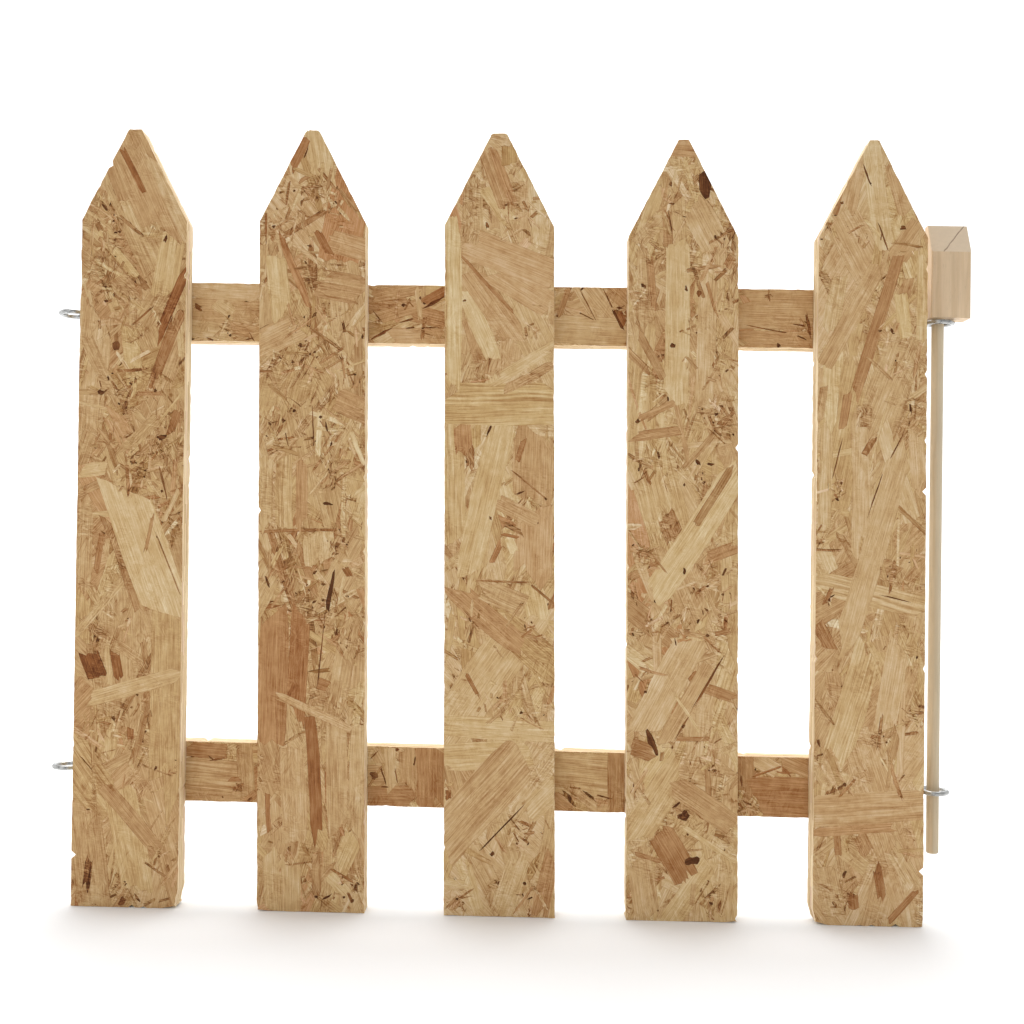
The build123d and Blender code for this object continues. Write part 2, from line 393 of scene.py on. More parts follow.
def strand_material():
    """Pressed strands: each one's tone, redness, banding and edge come from its attribute."""
    settings = bpy.context.scene.gate_board
    material, tree, shader = new_material("pressed strands")
    grain_place = node(tree, "ShaderNodeUVMap", uv_map="grain").outputs[0]
    object_place, flat = face_place(tree)
    strand = node(tree, "ShaderNodeAttribute", attribute_name="strand", attribute_type="GEOMETRY")
    channels = node(tree, "ShaderNodeSeparateColor", {0: strand.outputs["Color"]})
    tone, redness, banding = channels.outputs[:3]
    inner = strand.outputs["Alpha"]
    torn = node(
        tree, "ShaderNodeAttribute", attribute_name="torn", attribute_type="GEOMETRY"
    ).outputs["Fac"]
    grain = use_group(
        tree, "wood grain", {"Vector": grain_place, "Seed": 3.0, "Band width": 1.5 * MM}
    )
    dust = use_group(tree, "dust", {"Vector": object_place, "Amount": 0.35})
    bands, fibres = grain.outputs["Bands"], grain.outputs["Fibres"]
    pores, cloud = grain.outputs["Pores"], grain.outputs["Cloud"]
    # splinters in three directions, patched together, strongest where the surface is torn
    layers = [
        use_group(tree, "splinters", {"Vector": flat, "Angle": angle, "Length": length,
                                      "Width": width})
        for angle, length, width in (
            (1.9, 11 * MM, 1.5 * MM), (1.1, 6 * MM, 0.9 * MM), (0.2, 5 * MM, 1.1 * MM)
        )
    ]
    patch = node(tree, "ShaderNodeTexNoise", {"Vector": flat, "Scale": 130.0, "Detail": 2.0})
    choose = node(tree, "ShaderNodeSeparateColor", {0: patch.outputs["Color"]})
    first = span(tree, choose.outputs[0], 0.48, 0.52)
    second = span(tree, choose.outputs[1], 0.48, 0.52)

    def patched(output):
        one = layers[0].outputs[output]
        for layer, mask in ((layers[1], first), (layers[2], second)):
            both = node(tree, "ShaderNodeMix", {0: mask, 2: one, 3: layer.outputs[output]})
            one = both.outputs[0]
        return one

    chip_tone, chip_edge, crack = patched("Tone"), patched("Edge"), patched("Crack")
    zone = noise(tree, stretched(tree, flat, (70.0, 45.0, 1.0)), 2.0)
    tearing = maths(tree, "MULTIPLY", span(tree, zone, 0.40, 0.62, 0.15, 1.0),
                    span(tree, torn, 0.0, 0.8, 0.12, 1.0))
    # tone of the wood
    band_pull = maths(tree, "MULTIPLY", maths(tree, "SUBTRACT", bands, 0.5), banding)
    mottle = noise(tree, stretched(tree, flat, (210.0, 160.0, 1.0)), 4.0, 0.6)
    parts = (
        (band_pull, 0.22),
        (maths(tree, "SUBTRACT", cloud, 0.5), 0.16),
        (maths(tree, "SUBTRACT", fibres, 0.5), 0.44),
        (maths(tree, "SUBTRACT", mottle, 0.5), 0.30),
        (maths(tree, "MULTIPLY", maths(tree, "SUBTRACT", chip_tone, 0.5), tearing), 0.38),
        # cracks painted dark: painted shade in the cracks between splinters
        (maths(tree, "MULTIPLY", crack, tearing), -0.45),
    )
    lit = tone
    for part, strength in parts:
        lit = maths(tree, "ADD", lit, maths(tree, "MULTIPLY", part, strength))
    # painted shade in the crevices along each splinter's edge
    crevice_shade = maths(tree, "MULTIPLY", maths(tree, "SUBTRACT", 1.0, chip_edge), tearing)
    lit = maths(tree, "SUBTRACT", lit, maths(tree, "MULTIPLY", crevice_shade, 0.27))
    lit = maths(tree, "SUBTRACT", lit, maths(tree, "MULTIPLY", pores, 0.16))
    # each strand darker along its sloping edge in broken stretches: partly dark resin and torn fibre,
    # partly painted shade at the step down
    rim = maths(tree, "SUBTRACT", 1.0, inner)
    broken = span(tree, noise(tree, stretched(tree, flat, (380.0, 380.0, 1.0)), 2.0), 0.42, 0.6)
    rim_resin_and_shade = maths(tree, "MULTIPLY", maths(tree, "MULTIPLY", rim, broken), 0.26)
    lit = maths(tree, "SUBTRACT", lit, rim_resin_and_shade, clamp=True)
    ramp = node(tree, "ShaderNodeValToRGB", {0: lit})
    stops = ramp.color_ramp.elements
    stops[0].position, stops[0].color = 0.0, (*[c * 0.6 for c in settings.dark], 1)
    stops[1].position, stops[1].color = 1.0, (*settings.pale, 1)
    for at, colour in ((0.14, settings.dark), (0.36, settings.brown), (0.63, settings.tan)):
        stops.new(at).color = (*colour, 1)
    reddened = mix(tree, 1.0, ramp.outputs[0], tuple(settings.red), "MULTIPLY")
    yellow_cast, neutral = (1.0, 1.0, 0.90), 0.25
    yellowed = mix(tree, 1.0, ramp.outputs[0], yellow_cast, "MULTIPLY")
    cast = mix(tree, span(tree, redness, 0.0, neutral), yellowed, ramp.outputs[0])
    warm = mix(tree, span(tree, redness, neutral, 1.0), cast, reddened)
    speckled = mix(tree, dust.outputs["Specks"], warm, tuple(settings.brown))
    rough = span(tree, maths(tree, "ADD", fibres, dust.outputs["Grime"]), 0.0, 1.4, 0.55, 0.82)
    height = maths(
        tree, "ADD", maths(tree, "MULTIPLY", fibres, 0.35),
        maths(tree, "MULTIPLY", maths(tree, "ADD", chip_tone, chip_edge), tearing),
    )
    finish_shader(tree, shader, speckled, rough, height, 0.14 * MM)
    shader.inputs["Specular IOR Level"].default_value = 0.1
    return material


def sawn_material():
    """Sawn edges of the board: cut strand ends in thin pale layers."""
    settings = bpy.context.scene.gate_board
    material, tree, shader = new_material("sawn strands")
    place = node(tree, "ShaderNodeUVMap", uv_map="grain").outputs[0]
    strand = node(tree, "ShaderNodeAttribute", attribute_name="strand", attribute_type="GEOMETRY")
    channels = node(tree, "ShaderNodeSeparateColor", {0: strand.outputs["Color"]})
    tone, redness = channels.outputs[0], channels.outputs[1]
    inner = strand.outputs["Alpha"]
    grain = use_group(
        tree, "wood grain", {"Vector": place, "Seed": 8.0, "Band width": 0.5 * MM, "Waviness": 0.3}
    )
    pull = maths(tree, "MULTIPLY", maths(tree, "SUBTRACT", grain.outputs["Bands"], 0.5), 0.22)
    fuzz = maths(tree, "MULTIPLY", maths(tree, "SUBTRACT", grain.outputs["Cloud"], 0.5), 0.22)
    lit = maths(tree, "ADD", tone, maths(tree, "ADD", pull, fuzz), clamp=True)
    ramp = node(tree, "ShaderNodeValToRGB", {0: lit})
    stops = ramp.color_ramp.elements
    stops[0].position, stops[0].color = 0.0, (*settings.dark, 1)
    stops[1].position, stops[1].color = 1.0, (*[min(1, c * 1.2) for c in settings.pale], 1)
    stops.new(0.55).color = (*settings.tan, 1)
    warm = mix(tree, redness, ramp.outputs[0], tuple(settings.red))
    # the alpha's seam shade darkens the sunk seams between layers: painted shade
    gap = span(tree, inner, 0.0, 1.0, 0.35, 1.0)
    grey = node(tree, "ShaderNodeCombineColor", {0: gap, 1: gap, 2: gap}).outputs[0]
    shaded = mix(tree, 1.0, warm, grey, "MULTIPLY")
    rough = span(tree, grain.outputs["Fibres"], 0.0, 1.0, 0.70, 0.92)
    height = maths(tree, "ADD", grain.outputs["Bands"], grain.outputs["Fibres"])
    finish_shader(tree, shader, shaded, rough, height, 0.12 * MM)
    shader.inputs["Specular IOR Level"].default_value = 0.25
    return material


def cut_slope(tree, place):
    """Masks of the block's sloping cut and of the thin split that runs across its end grain."""
    low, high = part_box("pin_head")
    points = [v.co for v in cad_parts["pin_head"].data.vertices]
    hair, split_from, split_share = 0.01 * MM, 1.6 * MM, 0.62
    crest = min(p.y for p in points if p.z > high.z - hair)
    start = max(p.z for p in points if p.y < low.y + hair)
    x, y, z = node(tree, "ShaderNodeSeparateXYZ", {0: place}).outputs
    lean = (crest - low.y) / (high.z - start)
    above_start = maths(tree, "MULTIPLY", maths(tree, "SUBTRACT", z, start), lean)
    front = maths(tree, "ADD", above_start, low.y)
    above = maths(tree, "GREATER_THAN", z, start + 10 * hair)
    outside = maths(tree, "LESS_THAN", y, maths(tree, "ADD", front, 5 * hair))
    on_cut = maths(tree, "MULTIPLY", above, outside)
    wobble = noise(tree, stretched(tree, place, (300.0, 300.0, 300.0)))
    wobble = maths(tree, "MULTIPLY", maths(tree, "SUBTRACT", wobble, 0.5), 1.6 * MM)
    rise = (high.z - start) / (split_share * (high.x - low.x))
    line = maths(tree, "MULTIPLY", maths(tree, "SUBTRACT", x, high.x - split_from), rise)
    off = maths(tree, "SUBTRACT", maths(tree, "SUBTRACT", z, high.z), line)
    off = maths(tree, "ABSOLUTE", maths(tree, "ADD", off, wobble))
    crack = maths(tree, "MULTIPLY", on_cut, span(tree, off, 0.15 * MM, 0.55 * MM, 1.0, 0.0))
    return on_cut, crack


def straight_wood(name, tint, along, seed, band, ring_tint, is_cut=False):
    """Planed solid wood with straight grain, on object coordinates turned so X runs along it."""
    material, tree, shader = new_material(name)
    place = node(tree, "ShaderNodeTexCoord").outputs["Object"]
    turned = node(tree, "ShaderNodeMapping", {"Vector": place, "Rotation": along}).outputs[0]
    grain = use_group(
        tree, "wood grain", {"Vector": turned, "Seed": seed, "Band width": band, "Waviness": 0.5}
    )
    dust = use_group(tree, "dust", {"Vector": place, "Amount": 0.25})
    banded = mix(
        tree, span(tree, grain.outputs["Bands"], 0.3, 1.0, 0.0, 0.5), tuple(tint), ring_tint
    )
    shade = span(tree, grain.outputs["Fibres"], 0.0, 1.0, 0.90, 1.06)
    cloud = span(tree, grain.outputs["Cloud"], 0.0, 1.0, 0.93, 1.05)
    pores = span(tree, grain.outputs["Pores"], 0.0, 1.0, 1.0, 0.82)
    total = maths(tree, "MULTIPLY", maths(tree, "MULTIPLY", shade, cloud), pores)
    grey = node(tree, "ShaderNodeCombineColor", {0: total, 1: total, 2: total}).outputs[0]
    worked = mix(tree, 1.0, banded, grey, "MULTIPLY")
    dirt_and_split_shade = mix(tree, dust.outputs["Grime"], worked, tuple(c * 0.8 for c in tint))
    rough = span(tree, grain.outputs["Fibres"], 0.0, 1.0, 0.48, 0.68)
    height = maths(tree, "ADD", grain.outputs["Fibres"], grain.outputs["Bands"])
    if is_cut:
        on_cut, crack = cut_slope(tree, place)
        rings = noise(tree, stretched(tree, place, (420.0, 900.0, 420.0)), 2.0, distortion=0.6)
        pale = mix(tree, rings, tuple(c * 0.86 for c in tint), tuple(tint))
        greyed = mix(tree, 0.25, pale, (0.55, 0.52, 0.46))
        dirt_and_split_shade = mix(tree, on_cut, dirt_and_split_shade, greyed)
        # the split painted dark brown: painted shade in the split, which the bump also sinks
        dirt_and_split_shade = mix(tree, maths(tree, "MULTIPLY", crack, 0.8), dirt_and_split_shade, (0.20, 0.12, 0.07))
        height = maths(tree, "SUBTRACT", height, maths(tree, "MULTIPLY", crack, 2.0))
    finish_shader(tree, shader, dirt_and_split_shade, rough, height, 0.06 * MM)
    shader.inputs["Specular IOR Level"].default_value = 0.4
    return material


def zinc_material(name, streak):
    """Zinc plating on drawn wire: faint drawing marks, dull patches with painted dark and bright
    reflections, small dark specks.
    """
    settings = bpy.context.scene.gate_metal
    material, tree, shader = new_material(name)
    place = node(tree, "ShaderNodeTexCoord").outputs["Object"]
    drawn = noise(tree, stretched(tree, place, streak), 3.0, 0.6)
    patches = noise(tree, stretched(tree, place, (420.0, 420.0, 420.0)), 3.0, 0.6)
    dust = use_group(tree, "dust", {"Vector": place, "Amount": 0.6})
    # the dull and bright patches are partly the plating's own dull spots and partly painted reflections,
    # dark and light
    bright_patch_and_reflection = tuple(min(1.0, c * 1.25) for c in settings.zinc)
    dull_patch_and_dark_reflection = tuple(c * 0.72 for c in settings.zinc)
    colour = mix(tree, span(tree, patches, 0.35, 0.65), dull_patch_and_dark_reflection, bright_patch_and_reflection)
    specked = mix(tree, dust.outputs["Specks"], colour, (0.20, 0.19, 0.17))
    rough = maths(
        tree, "ADD", span(tree, patches, 0.3, 0.7, settings.roughness - 0.08,
                          settings.roughness + 0.10),
        maths(tree, "MULTIPLY", drawn, 0.08),
    )
    finish_shader(tree, shader, specked, rough, maths(tree, "ADD", drawn, patches), 0.03 * MM)
    shader.inputs["Metallic"].default_value = 1.0
    return material


# --- strands, in the plane of a board's face, in millimetres ---------------------------------


def is_inside(points, polygon):
    """Which points are inside a polygon."""
    x, y = points[:, 0, None], points[:, 1, None]
    nxt = np.roll(polygon, -1, axis=0)
    ax, ay, bx, by = polygon[:, 0], polygon[:, 1], nxt[:, 0], nxt[:, 1]
    with np.errstate(divide="ignore", invalid="ignore"):
        crossing = ax + (y - ay) * (bx - ax) / (by - ay)
    return np.sum(((ay > y) != (by > y)) & (x < crossing), axis=1) % 2 == 1


def within(points, outline):
    """Which points are inside a ragged outline that is convex apart from its nicks."""
    corners = hull(outline)
    run = np.roll(corners, -1, axis=0) - corners
    normal = np.stack([-run[:, 1], run[:, 0]], 1) / np.linalg.norm(run, axis=1)[:, None]
    inset = ((points[:, None] - corners[None]) * normal).sum(2).min(1)
    inside = inset > 2.5
    unsure = (inset > 0) & ~inside
    inside[unsure] = is_inside(points[unsure], outline)
    return inside


def edge_distance(points, polygon):
    """Distance from each point to the polygon's outline."""
    step = np.roll(polygon, -1, axis=0) - polygon
    away = points[:, None, :] - polygon[None]
    share = np.clip((away * step).sum(2) / np.maximum((step * step).sum(1), 1e-12), 0, 1)
    off = away - share[..., None] * step
    return np.sqrt((off * off).sum(2)).min(1)


def drawn_in(polygon, width):
    """The polygon with its outline moved inwards, for one that runs anticlockwise."""
    into = polygon - np.roll(polygon, 1, axis=0)
    out = np.roll(polygon, -1, axis=0) - polygon
    into /= np.maximum(np.linalg.norm(into, axis=1), 1e-9)[:, None]
    out /= np.maximum(np.linalg.norm(out, axis=1), 1e-9)[:, None]
    normal = np.stack([-into[:, 1] - out[:, 1], into[:, 0] + out[:, 0]], 1)
    scale = 2 / np.maximum((normal * normal).sum(1), 0.8)
    return polygon + normal * (scale * width)[:, None]


def strand_outline(length, width, rng, ragged=1.0):
    """A strand's outline about its middle, its length along X: slanted, tapering, torn ends."""
    teeth = 2 + int(width > 2) + int(width > 5) + 2 * int(width > 9) + 2 * int(width > 15)
    slants = np.clip(rng.normal(0, 0.75, 2) * width, -0.3 * length, 0.3 * length)
    narrowing = 0.75 if length > 6 * width else 0.33
    taper = np.clip(1 - np.abs(rng.normal(0, narrowing, 2)), 0.12, 1)
    ends = []
    for end, slant, narrow in ((-1, slants[0], taper[0]), (1, slants[1], taper[1])):
        across = np.linspace(-0.5, 0.5, teeth + 1)
        across[1:-1] += rng.uniform(-0.35, 0.35, teeth - 1) / teeth
        torn = rng.exponential(min(1.9, 0.06 * length), teeth + 1) * (0.25 + 0.75 * ragged)
        ends.append([(end * (length / 2 - t) + a * slant, a * width * narrow)
                     for a, t in zip(across, torn)])
    sides = []
    knots = 2 + int(length > 14) + int(length > 30) + int(length > 60)
    for side in (-1, 1):
        along = np.linspace(-0.42, 0.42, knots) + rng.uniform(-0.08, 0.08, knots)
        sway = rng.normal(0, 0.025 * width + 0.07, knots) * (0.3 + 0.7 * ragged)
        sides.append([(a * length, side * width / 2 * (1 - 0.5 * abs(a) ** 3) + o)
                      for a, o in zip(along, sway)])
    outline = np.array(ends[0][::-1] + sides[0] + ends[1] + sides[1][::-1])
    bow = rng.normal(0, 0.018) * length * (0.3 + 0.7 * ragged)
    outline[:, 1] += bow * (1 - (2 * outline[:, 0] / length) ** 2)
    return outline


def hole_outline(length, width, rng):
    """An uneven rounded hole about its middle."""
    count = 11
    angles = np.linspace(0, 2 * math.pi, count, endpoint=False)
    reach = rng.uniform(0.55, 1.15, count) / 2
    return np.stack([np.cos(angles) * length * reach, np.sin(angles) * width * reach], 1)


class Strand:
    """One strand in a face: its outline, its level below the face and its look."""

    def __init__(self, centre, angle, outline, level, look, shift):
        self.turn = np.array([
            [math.cos(angle), math.sin(angle)], [-math.sin(angle), math.cos(angle)]
        ])
        placed = outline @ self.turn + np.asarray(centre)
        twice_area = np.sum(
            placed[:, 0] * np.roll(placed[:, 1], -1) - np.roll(placed[:, 0], -1) * placed[:, 1]
        )
        self.outline = placed if twice_area > 0 else placed[::-1]
        self.centre, self.level = np.asarray(centre), level
        self.look, self.shift = look, shift


# How each board differs: share of flakes, slivers and crumbs, its tone, and share of red strands
MOODS = {
    "picket_1": (0.85, 1.0, 1.0, -0.035, 0.08),
    "picket_2": (0.55, 1.3, 1.6, -0.012, 0.12),
    "picket_3": (1.10, 0.8, 0.6, 0.02, 0.06),
    "picket_4": (0.80, 1.1, 1.1, 0.015, 0.08),
    "picket_5": (1.15, 0.8, 0.6, 0.03, 0.04),
    "top_rail": (0.80, 1.1, 1.0, -0.015, 0.15),
    "bottom_rail": (0.90, 1.0, 0.8, -0.04, 0.18),
}

# Which way most strands lie in a board: up the pickets and along the rails
LIE = {name: math.pi / 2 if name in PICKETS else 0.0 for name in MOODS}


# The strands that stand out on each board's front, the top one first, in millimetres from the
# middle of its lower edge: both ends across and up, width, tone, redness, banding and tearing
SHOWING = {
    "picket_1": (
        (-7, 390, 5, 366, 3.2, 0.43, 0.85, 0.1, 0.0), (17, 345, 16, 340, 1.6, 0.18, 0.8, 0, 0.5),
        (28, 327, 13, 291, 5.2, 0.40, 0.95, 0.2, 0.3), (9, 385, 31, 338, 8, 0.70, 0.3, 0.1, 0.1),
        (-8, 402, 18, 345, 22, 0.63, 0.40, 0.1, 0.1), (-11, 386, -2, 362, 13, 0.59, 0.4, 0.1, 0.2),
        (2, 345, 16, 344, 3, 0.74, 0.1, 0.3, 0.5), (-18, 347, 2, 322, 5, 0.70, 0.05, 0.2, 0.3),
        (21, 350, 15, 312, 13, 0.67, 0.1, 0.4, 0.15), (26, 306, 12, 270, 5, 0.52, 0.65, 0.3, 0.4),
        (21, 300, 8, 262, 3, 0.50, 0.7, 0.2, 0.5), (-24, 292, -5, 255, 7, 0.66, 0.3, 0.3, 0.3),
        (-2, 298, 2, 262, 9, 0.69, 0.05, 0.3, 0.4), (-9, 290, -8, 284, 4.5, 0.25, 0.6, 0, 0.5),
        (26, 263, 14, 247, 1.4, 0.74, 0.1, 0, 0.3), (24, 254, 20, 241, 4, 0.48, 0.7, 0.1, 0.6),
        (13, 239, 19, 240, 3.4, 0.14, 0.6, 0, 0.6), (-18, 263, -14, 263, 3, 0.16, 0.4, 0, 0.3),
        (14, 228, 20, 205, 1.2, 0.34, 0.5, 0, 0.4), (12, 200, 8, 180, 1.9, 0.54, 0.55, 0, 0.2),
        (13, 192, 27, 158, 0.7, 0.46, 0.3, 0, 0.2), (-14, 191, -17, 169, 3, 0.52, 0.65, 0.2, 0.3),
        (-4, 214, 20, 149, 24, 0.745, 0.14, 0.15, 0.04), (-9, 196, 8, 150, 10, 0.54, 0.4, 0.1, 0.5),
        (-26, 222, -12, 224, 7, 0.72, 0.15, 0.1, 0.2), (-23, 205, -24, 160, 9, 0.64, 0.3, 0.2, 0.3),
        (-20, 129, -15, 116, 10.5, 0.31, 0.85, 0.1, 0.25), (-7, 130, -4, 115, 5, 0.40, 0.8, 0, 0.5),
        (-11, 133, -9, 112, 3, 0.68, 0.2, 0, 0.2), (-20, 105, 29, 119, 8, 0.68, 0.2, 0.4, 0.1),
        (2, 91, 2, 85, 3.5, 0.42, 0.85, 0, 0.4), (20, 160, 20, 52, 17, 0.62, 0.15, 0.3, 0.05),
        (-12, 62, 16, 30, 8, 0.58, 0.4, 0.1, 0.1), (-3, 60, 7, 8, 17, 0.69, 0.12, 0.2, 0.08),
        (-18, 25, -20, 8, 4, 0.42, 0.6, 0.4, 0.8), (-17, 22, -19, 10, 0.8, 0.15, 0.5, 0, 0.4),
        (-22, 52, -15, 0, 18, 0.60, 0.3, 0.2, 0.15), (5, 7, 8, 3, 2, 0.30, 0.5, 0, 0.5),
        (-24, 77, -17, 69, 0.9, 0.28, 0.5, 0, 0.3), (0, 5, -2, 1, 3, 0.35, 0.7, 0, 0.5),
        (14, 250, -4, 232, 7, 0.64, 0.2, 0.2, 0.4), (-20, 245, -26, 225, 8, 0.62, 0.3, 0.2, 0.5),
    ),
    "picket_2": (
        (-2, 393, -5, 385, 0.9, 0.22, 0.6, 0, 0.4), (-3, 398, -11, 381, 5.5, 0.50, 0.85, 0.2, 0.2),
        (2, 403, 6, 374, 12, 0.69, 0.15, 0.4, 0.1), (-16, 345, 7, 359, 3.2, 0.46, 0.55, 0.2, 0.4),
        (-24, 358, -24, 346, 1.2, 0.36, 0.8, 0, 0.2), (2, 349, 9, 336, 4, 0.44, 0.85, 0.1, 0.2),
        (7, 344, 30, 337, 12, 0.64, 0.55, 0.1, 0.1), (4, 321, 27, 317, 15, 0.59, 0.45, 0.5, 0.2),
        (-19, 336, -16, 303, 11, 0.69, 0.1, 0.2, 0.15), (-28, 289, -7, 299, 15, 0.66, 0.4, 0.1, 0.05),
        (1, 316, 0, 295, 1.9, 0.48, 0.05, 0, 0.3), (-4, 333, -3, 331, 1.2, 0.15, 0.4, 0, 0.5),
        (-3, 341, 0, 340, 1.3, 0.15, 0.4, 0, 0.5), (-6, 290, -6, 288, 1.4, 0.15, 0.4, 0, 0.5),
        (4, 253, 5, 251, 2, 0.12, 0.4, 0, 0.5), (7, 250, 8, 244, 1.4, 0.16, 0.3, 0, 0.5),
        (4, 256, 3, 231, 3, 0.78, 0.1, 0.1, 0.2), (20, 245, 27, 227, 2.3, 0.81, 0.1, 0, 0.1),
        (12, 262, 29, 254, 13, 0.61, 0.5, 0.1, 0.2), (0, 262, 1, 236, 0.8, 0.34, 0.5, 0, 0.3),
        (-14, 245, -12, 237, 0.8, 0.26, 0.5, 0, 0.3), (6, 208, 11, 207, 2.4, 0.10, 0.3, 0, 0.5),
        (-14, 232, -14, 195, 9, 0.66, 0.15, 0.7, 0.2), (-5, 232, -5, 195, 6, 0.59, 0.55, 0.4, 0.2),
        (-23, 232, -23, 195, 7, 0.64, 0.2, 0.4, 0.2), (-27, 193, 15, 194, 1.5, 0.46, 0.65, 0, 0.3),
        (3, 193, 4, 177, 16, 0.71, 0.2, 0.2, 0.15), (11.5, 173.5, 8, 151, 3.1, 0.07, 0.3, 0, 0.3),
        (7, 151, 3, 111, 0.9, 0.24, 0.8, 0, 0.05), (-24, 171, -21, 164, 1.6, 0.16, 0.4, 0, 0.5),
        (-18, 110, 21, 92, 4.2, 0.69, 0.4, 0.2, 0.15), (-0.5, 99, 3, 36, 6.4, 0.43, 0.8, 0.1, 0.03),
        (-19, 152, -20, 84, 15, 0.56, 0.72, 0.3, 0.1), (-5, 152, -8, 99, 10, 0.52, 0.85, 0.4, 0.15),
        (3, 116, 9, 114, 6, 0.50, 0.7, 0.1, 0.2), (-10, 84, -8, 35, 13, 0.66, 0.35, 0.2, 0.1),
        (13, 98, 14, 40, 11, 0.63, 0.3, 0.3, 0.1), (24, 95, 22, 40, 8, 0.66, 0.25, 0.4, 0.1),
        (-22, 60, -21, 40, 2.5, 0.47, 0.8, 0, 0.2), (-11, 57, -11, 45, 0.9, 0.36, 0.5, 0, 0.3),
        (5, 6, 12, 9.5, 1.3, 0.08, 0.3, 0, 0.2), (10, 22, 22, 15, 1.3, 0.44, 0.7, 0, 0.3),
        (20, 14.5, 22, 13, 1.2, 0.2, 0.5, 0, 0.5), (3, 32, 3, 8, 5, 0.55, 0.4, 0.2, 0.3),
        (9, 19, 19, 9, 6, 0.72, 0.1, 0.1, 0.1), (-15, 30, -14, -2, 19, 0.66, 0.2, 0.2, 0.15),
        (17, 175, 20, 170, 3.5, 0.42, 0.7, 0, 0.6), (-8, 188, 2, 160, 4, 0.55, 0.55, 0.2, 0.4),
        (20, 150, 12, 100, 10, 0.62, 0.3, 0.3, 0.3),
    ),
    "picket_3": (
        (5, 396, 5, 384, 8.5, 0.47, 0.0, 0.1, 0.3), (-4, 394, 8, 363, 5, 0.56, 0.65, 0.5, 0.2),
        (-8, 392, 3, 362, 7, 0.60, 0.5, 0.4, 0.2), (-8, 373, 5, 355, 8, 0.68, 0.1, 0.3, 0.2),
        (-14, 380, -15, 344, 9, 0.60, 0.3, 0.2, 0.4), (-24.5, 358, -24, 270, 8, 0.69, 0.05, 0.8, 0.05),
        (-20, 338, 8, 307, 1.8, 0.50, 0.7, 0, 0.05), (-18, 345, 29, 326, 17, 0.645, 0.5, 0.05, 0.0),
        (-2, 328, 28, 310, 14, 0.64, 0.48, 0.05, 0.05), (-16, 329, 9, 293, 13, 0.61, 0.45, 0.4, 0.1),
        (-18, 320, -2, 283, 9, 0.72, 0.1, 0.15, 0.1), (-16, 306, -8, 280, 8, 0.54, 0.45, 0.1, 0.3),
        (-3, 272, 29, 291, 6, 0.67, 0.15, 0.3, 0.2), (2, 268, 28, 282, 5, 0.55, 0.4, 0.2, 0.3),
        (-7, 355, -6, 351, 2.2, 0.24, 0.6, 0, 0.5), (-19, 314, -17, 314, 1.4, 0.18, 0.5, 0, 0.5),
        (-31, 261, 31, 261, 22, 0.60, 0.04, 1.0, 0.0), (-4, 250, -7, 243, 1.3, 0.10, 0.4, 0, 0.4),
        (-15, 238, -15, 227, 4.3, 0.50, 0.5, 0.1, 0.6), (-19, 251, -18, 234, 9, 0.56, 0.7, 0.2, 0.2),
        (-12, 251, -12, 238, 5, 0.58, 0.0, 0.4, 0.1), (13, 243, 9, 231, 3, 0.45, 0.7, 0.1, 0.4),
        (6, 227, 25, 211, 0.8, 0.40, 0.6, 0, 0.1), (8, 214, 13, 216, 1.2, 0.2, 0.4, 0, 0.6),
        (4, 256, -16, 173, 14, 0.675, 0.1, 0.25, 0.03), (-24, 251, -22, 190, 11, 0.65, 0.1, 0.7, 0.1),
        (18, 247, 17, 210, 21, 0.585, 0.42, 0.1, 0.1), (-5, 203, -4, 201, 1.3, 0.12, 0.4, 0, 0.5),
        (1, 200, 12, 194, 2.6, 0.42, 0.3, 0, 0.8), (1, 194, 10, 192, 1.8, 0.46, 0.9, 0, 0.2),
        (4, 193, 8, 184, 5, 0.83, 0.05, 0, 0.3), (1, 190, -4, 179, 3, 0.50, 0.8, 0, 0.3),
        (-2, 211, 20, 200, 8, 0.61, 0.45, 0.1, 0.1), (18, 206, 17, 170, 20, 0.63, 0.5, 0.05, 0.05),
        (-12, 170, 16, 169, 1.1, 0.42, 0.5, 0, 0.1), (16, 168, 28, 158, 1.3, 0.38, 0.5, 0, 0.1),
        (-10, 167, 13, 157, 12, 0.60, 0.3, 0.7, 0.1), (16, 168, 20, 151, 12, 0.70, 0.05, 0.4, 0.1),
        (-23, 166, 12, 136, 12, 0.555, 0.55, 0.1, 0.1), (-17, 123, -11, 112, 2.1, 0.44, 0.65, 0, 0.1),
        (-31, 97, 31, 93, 11, 0.67, 0.1, 0.2, 0.1), (-10, 33, 12, 56, 1.0, 0.10, 0.6, 0, 0.02),
        (-28, 38, 12, 82, 24, 0.585, 0.32, 0.7, 0.05), (-31, 80, 16, 83, 14, 0.66, 0.1, 0.2, 0.1),
        (28, 66, 14, 52, 12, 0.66, 0.2, 0.2, 0.2), (-5, 32, -3, 31, 1.8, 0.12, 0.4, 0, 0.4),
        (12, 18, 14, 16, 2, 0.12, 0.4, 0, 0.4), (27, 30, 20, 0, 9, 0.54, 0.6, 0.1, 0.2),
        (-16, 29, -9, 3, 3, 0.71, 0.1, 0, 0.2), (-28, 18, -16, 16, 4, 0.72, 0.1, 0, 0.2),
        (-26, 64, -26, 59, 3, 0.38, 0.8, 0, 0.3), (10, 30, 0, 0, 12, 0.66, 0.2, 0.2, 0.2),
    ),
    "picket_4": (
        (11, 383, 11, 368, 7.6, 0.11, 0.5, 0, 0.1), (-7, 395, 8, 394, 9, 0.60, 0.55, 0.5, 0.1),
        (-8, 362, -6, 350, 0.9, 0.22, 0.6, 0, 0.2), (-9, 364, -8, 343, 5, 0.55, 0.5, 0.1, 0.4),
        (5, 366, 18, 341, 16, 0.655, 0.3, 0.2, 0.1), (25, 339, 22, 333, 4.5, 0.50, 0.6, 0.1, 0.4),
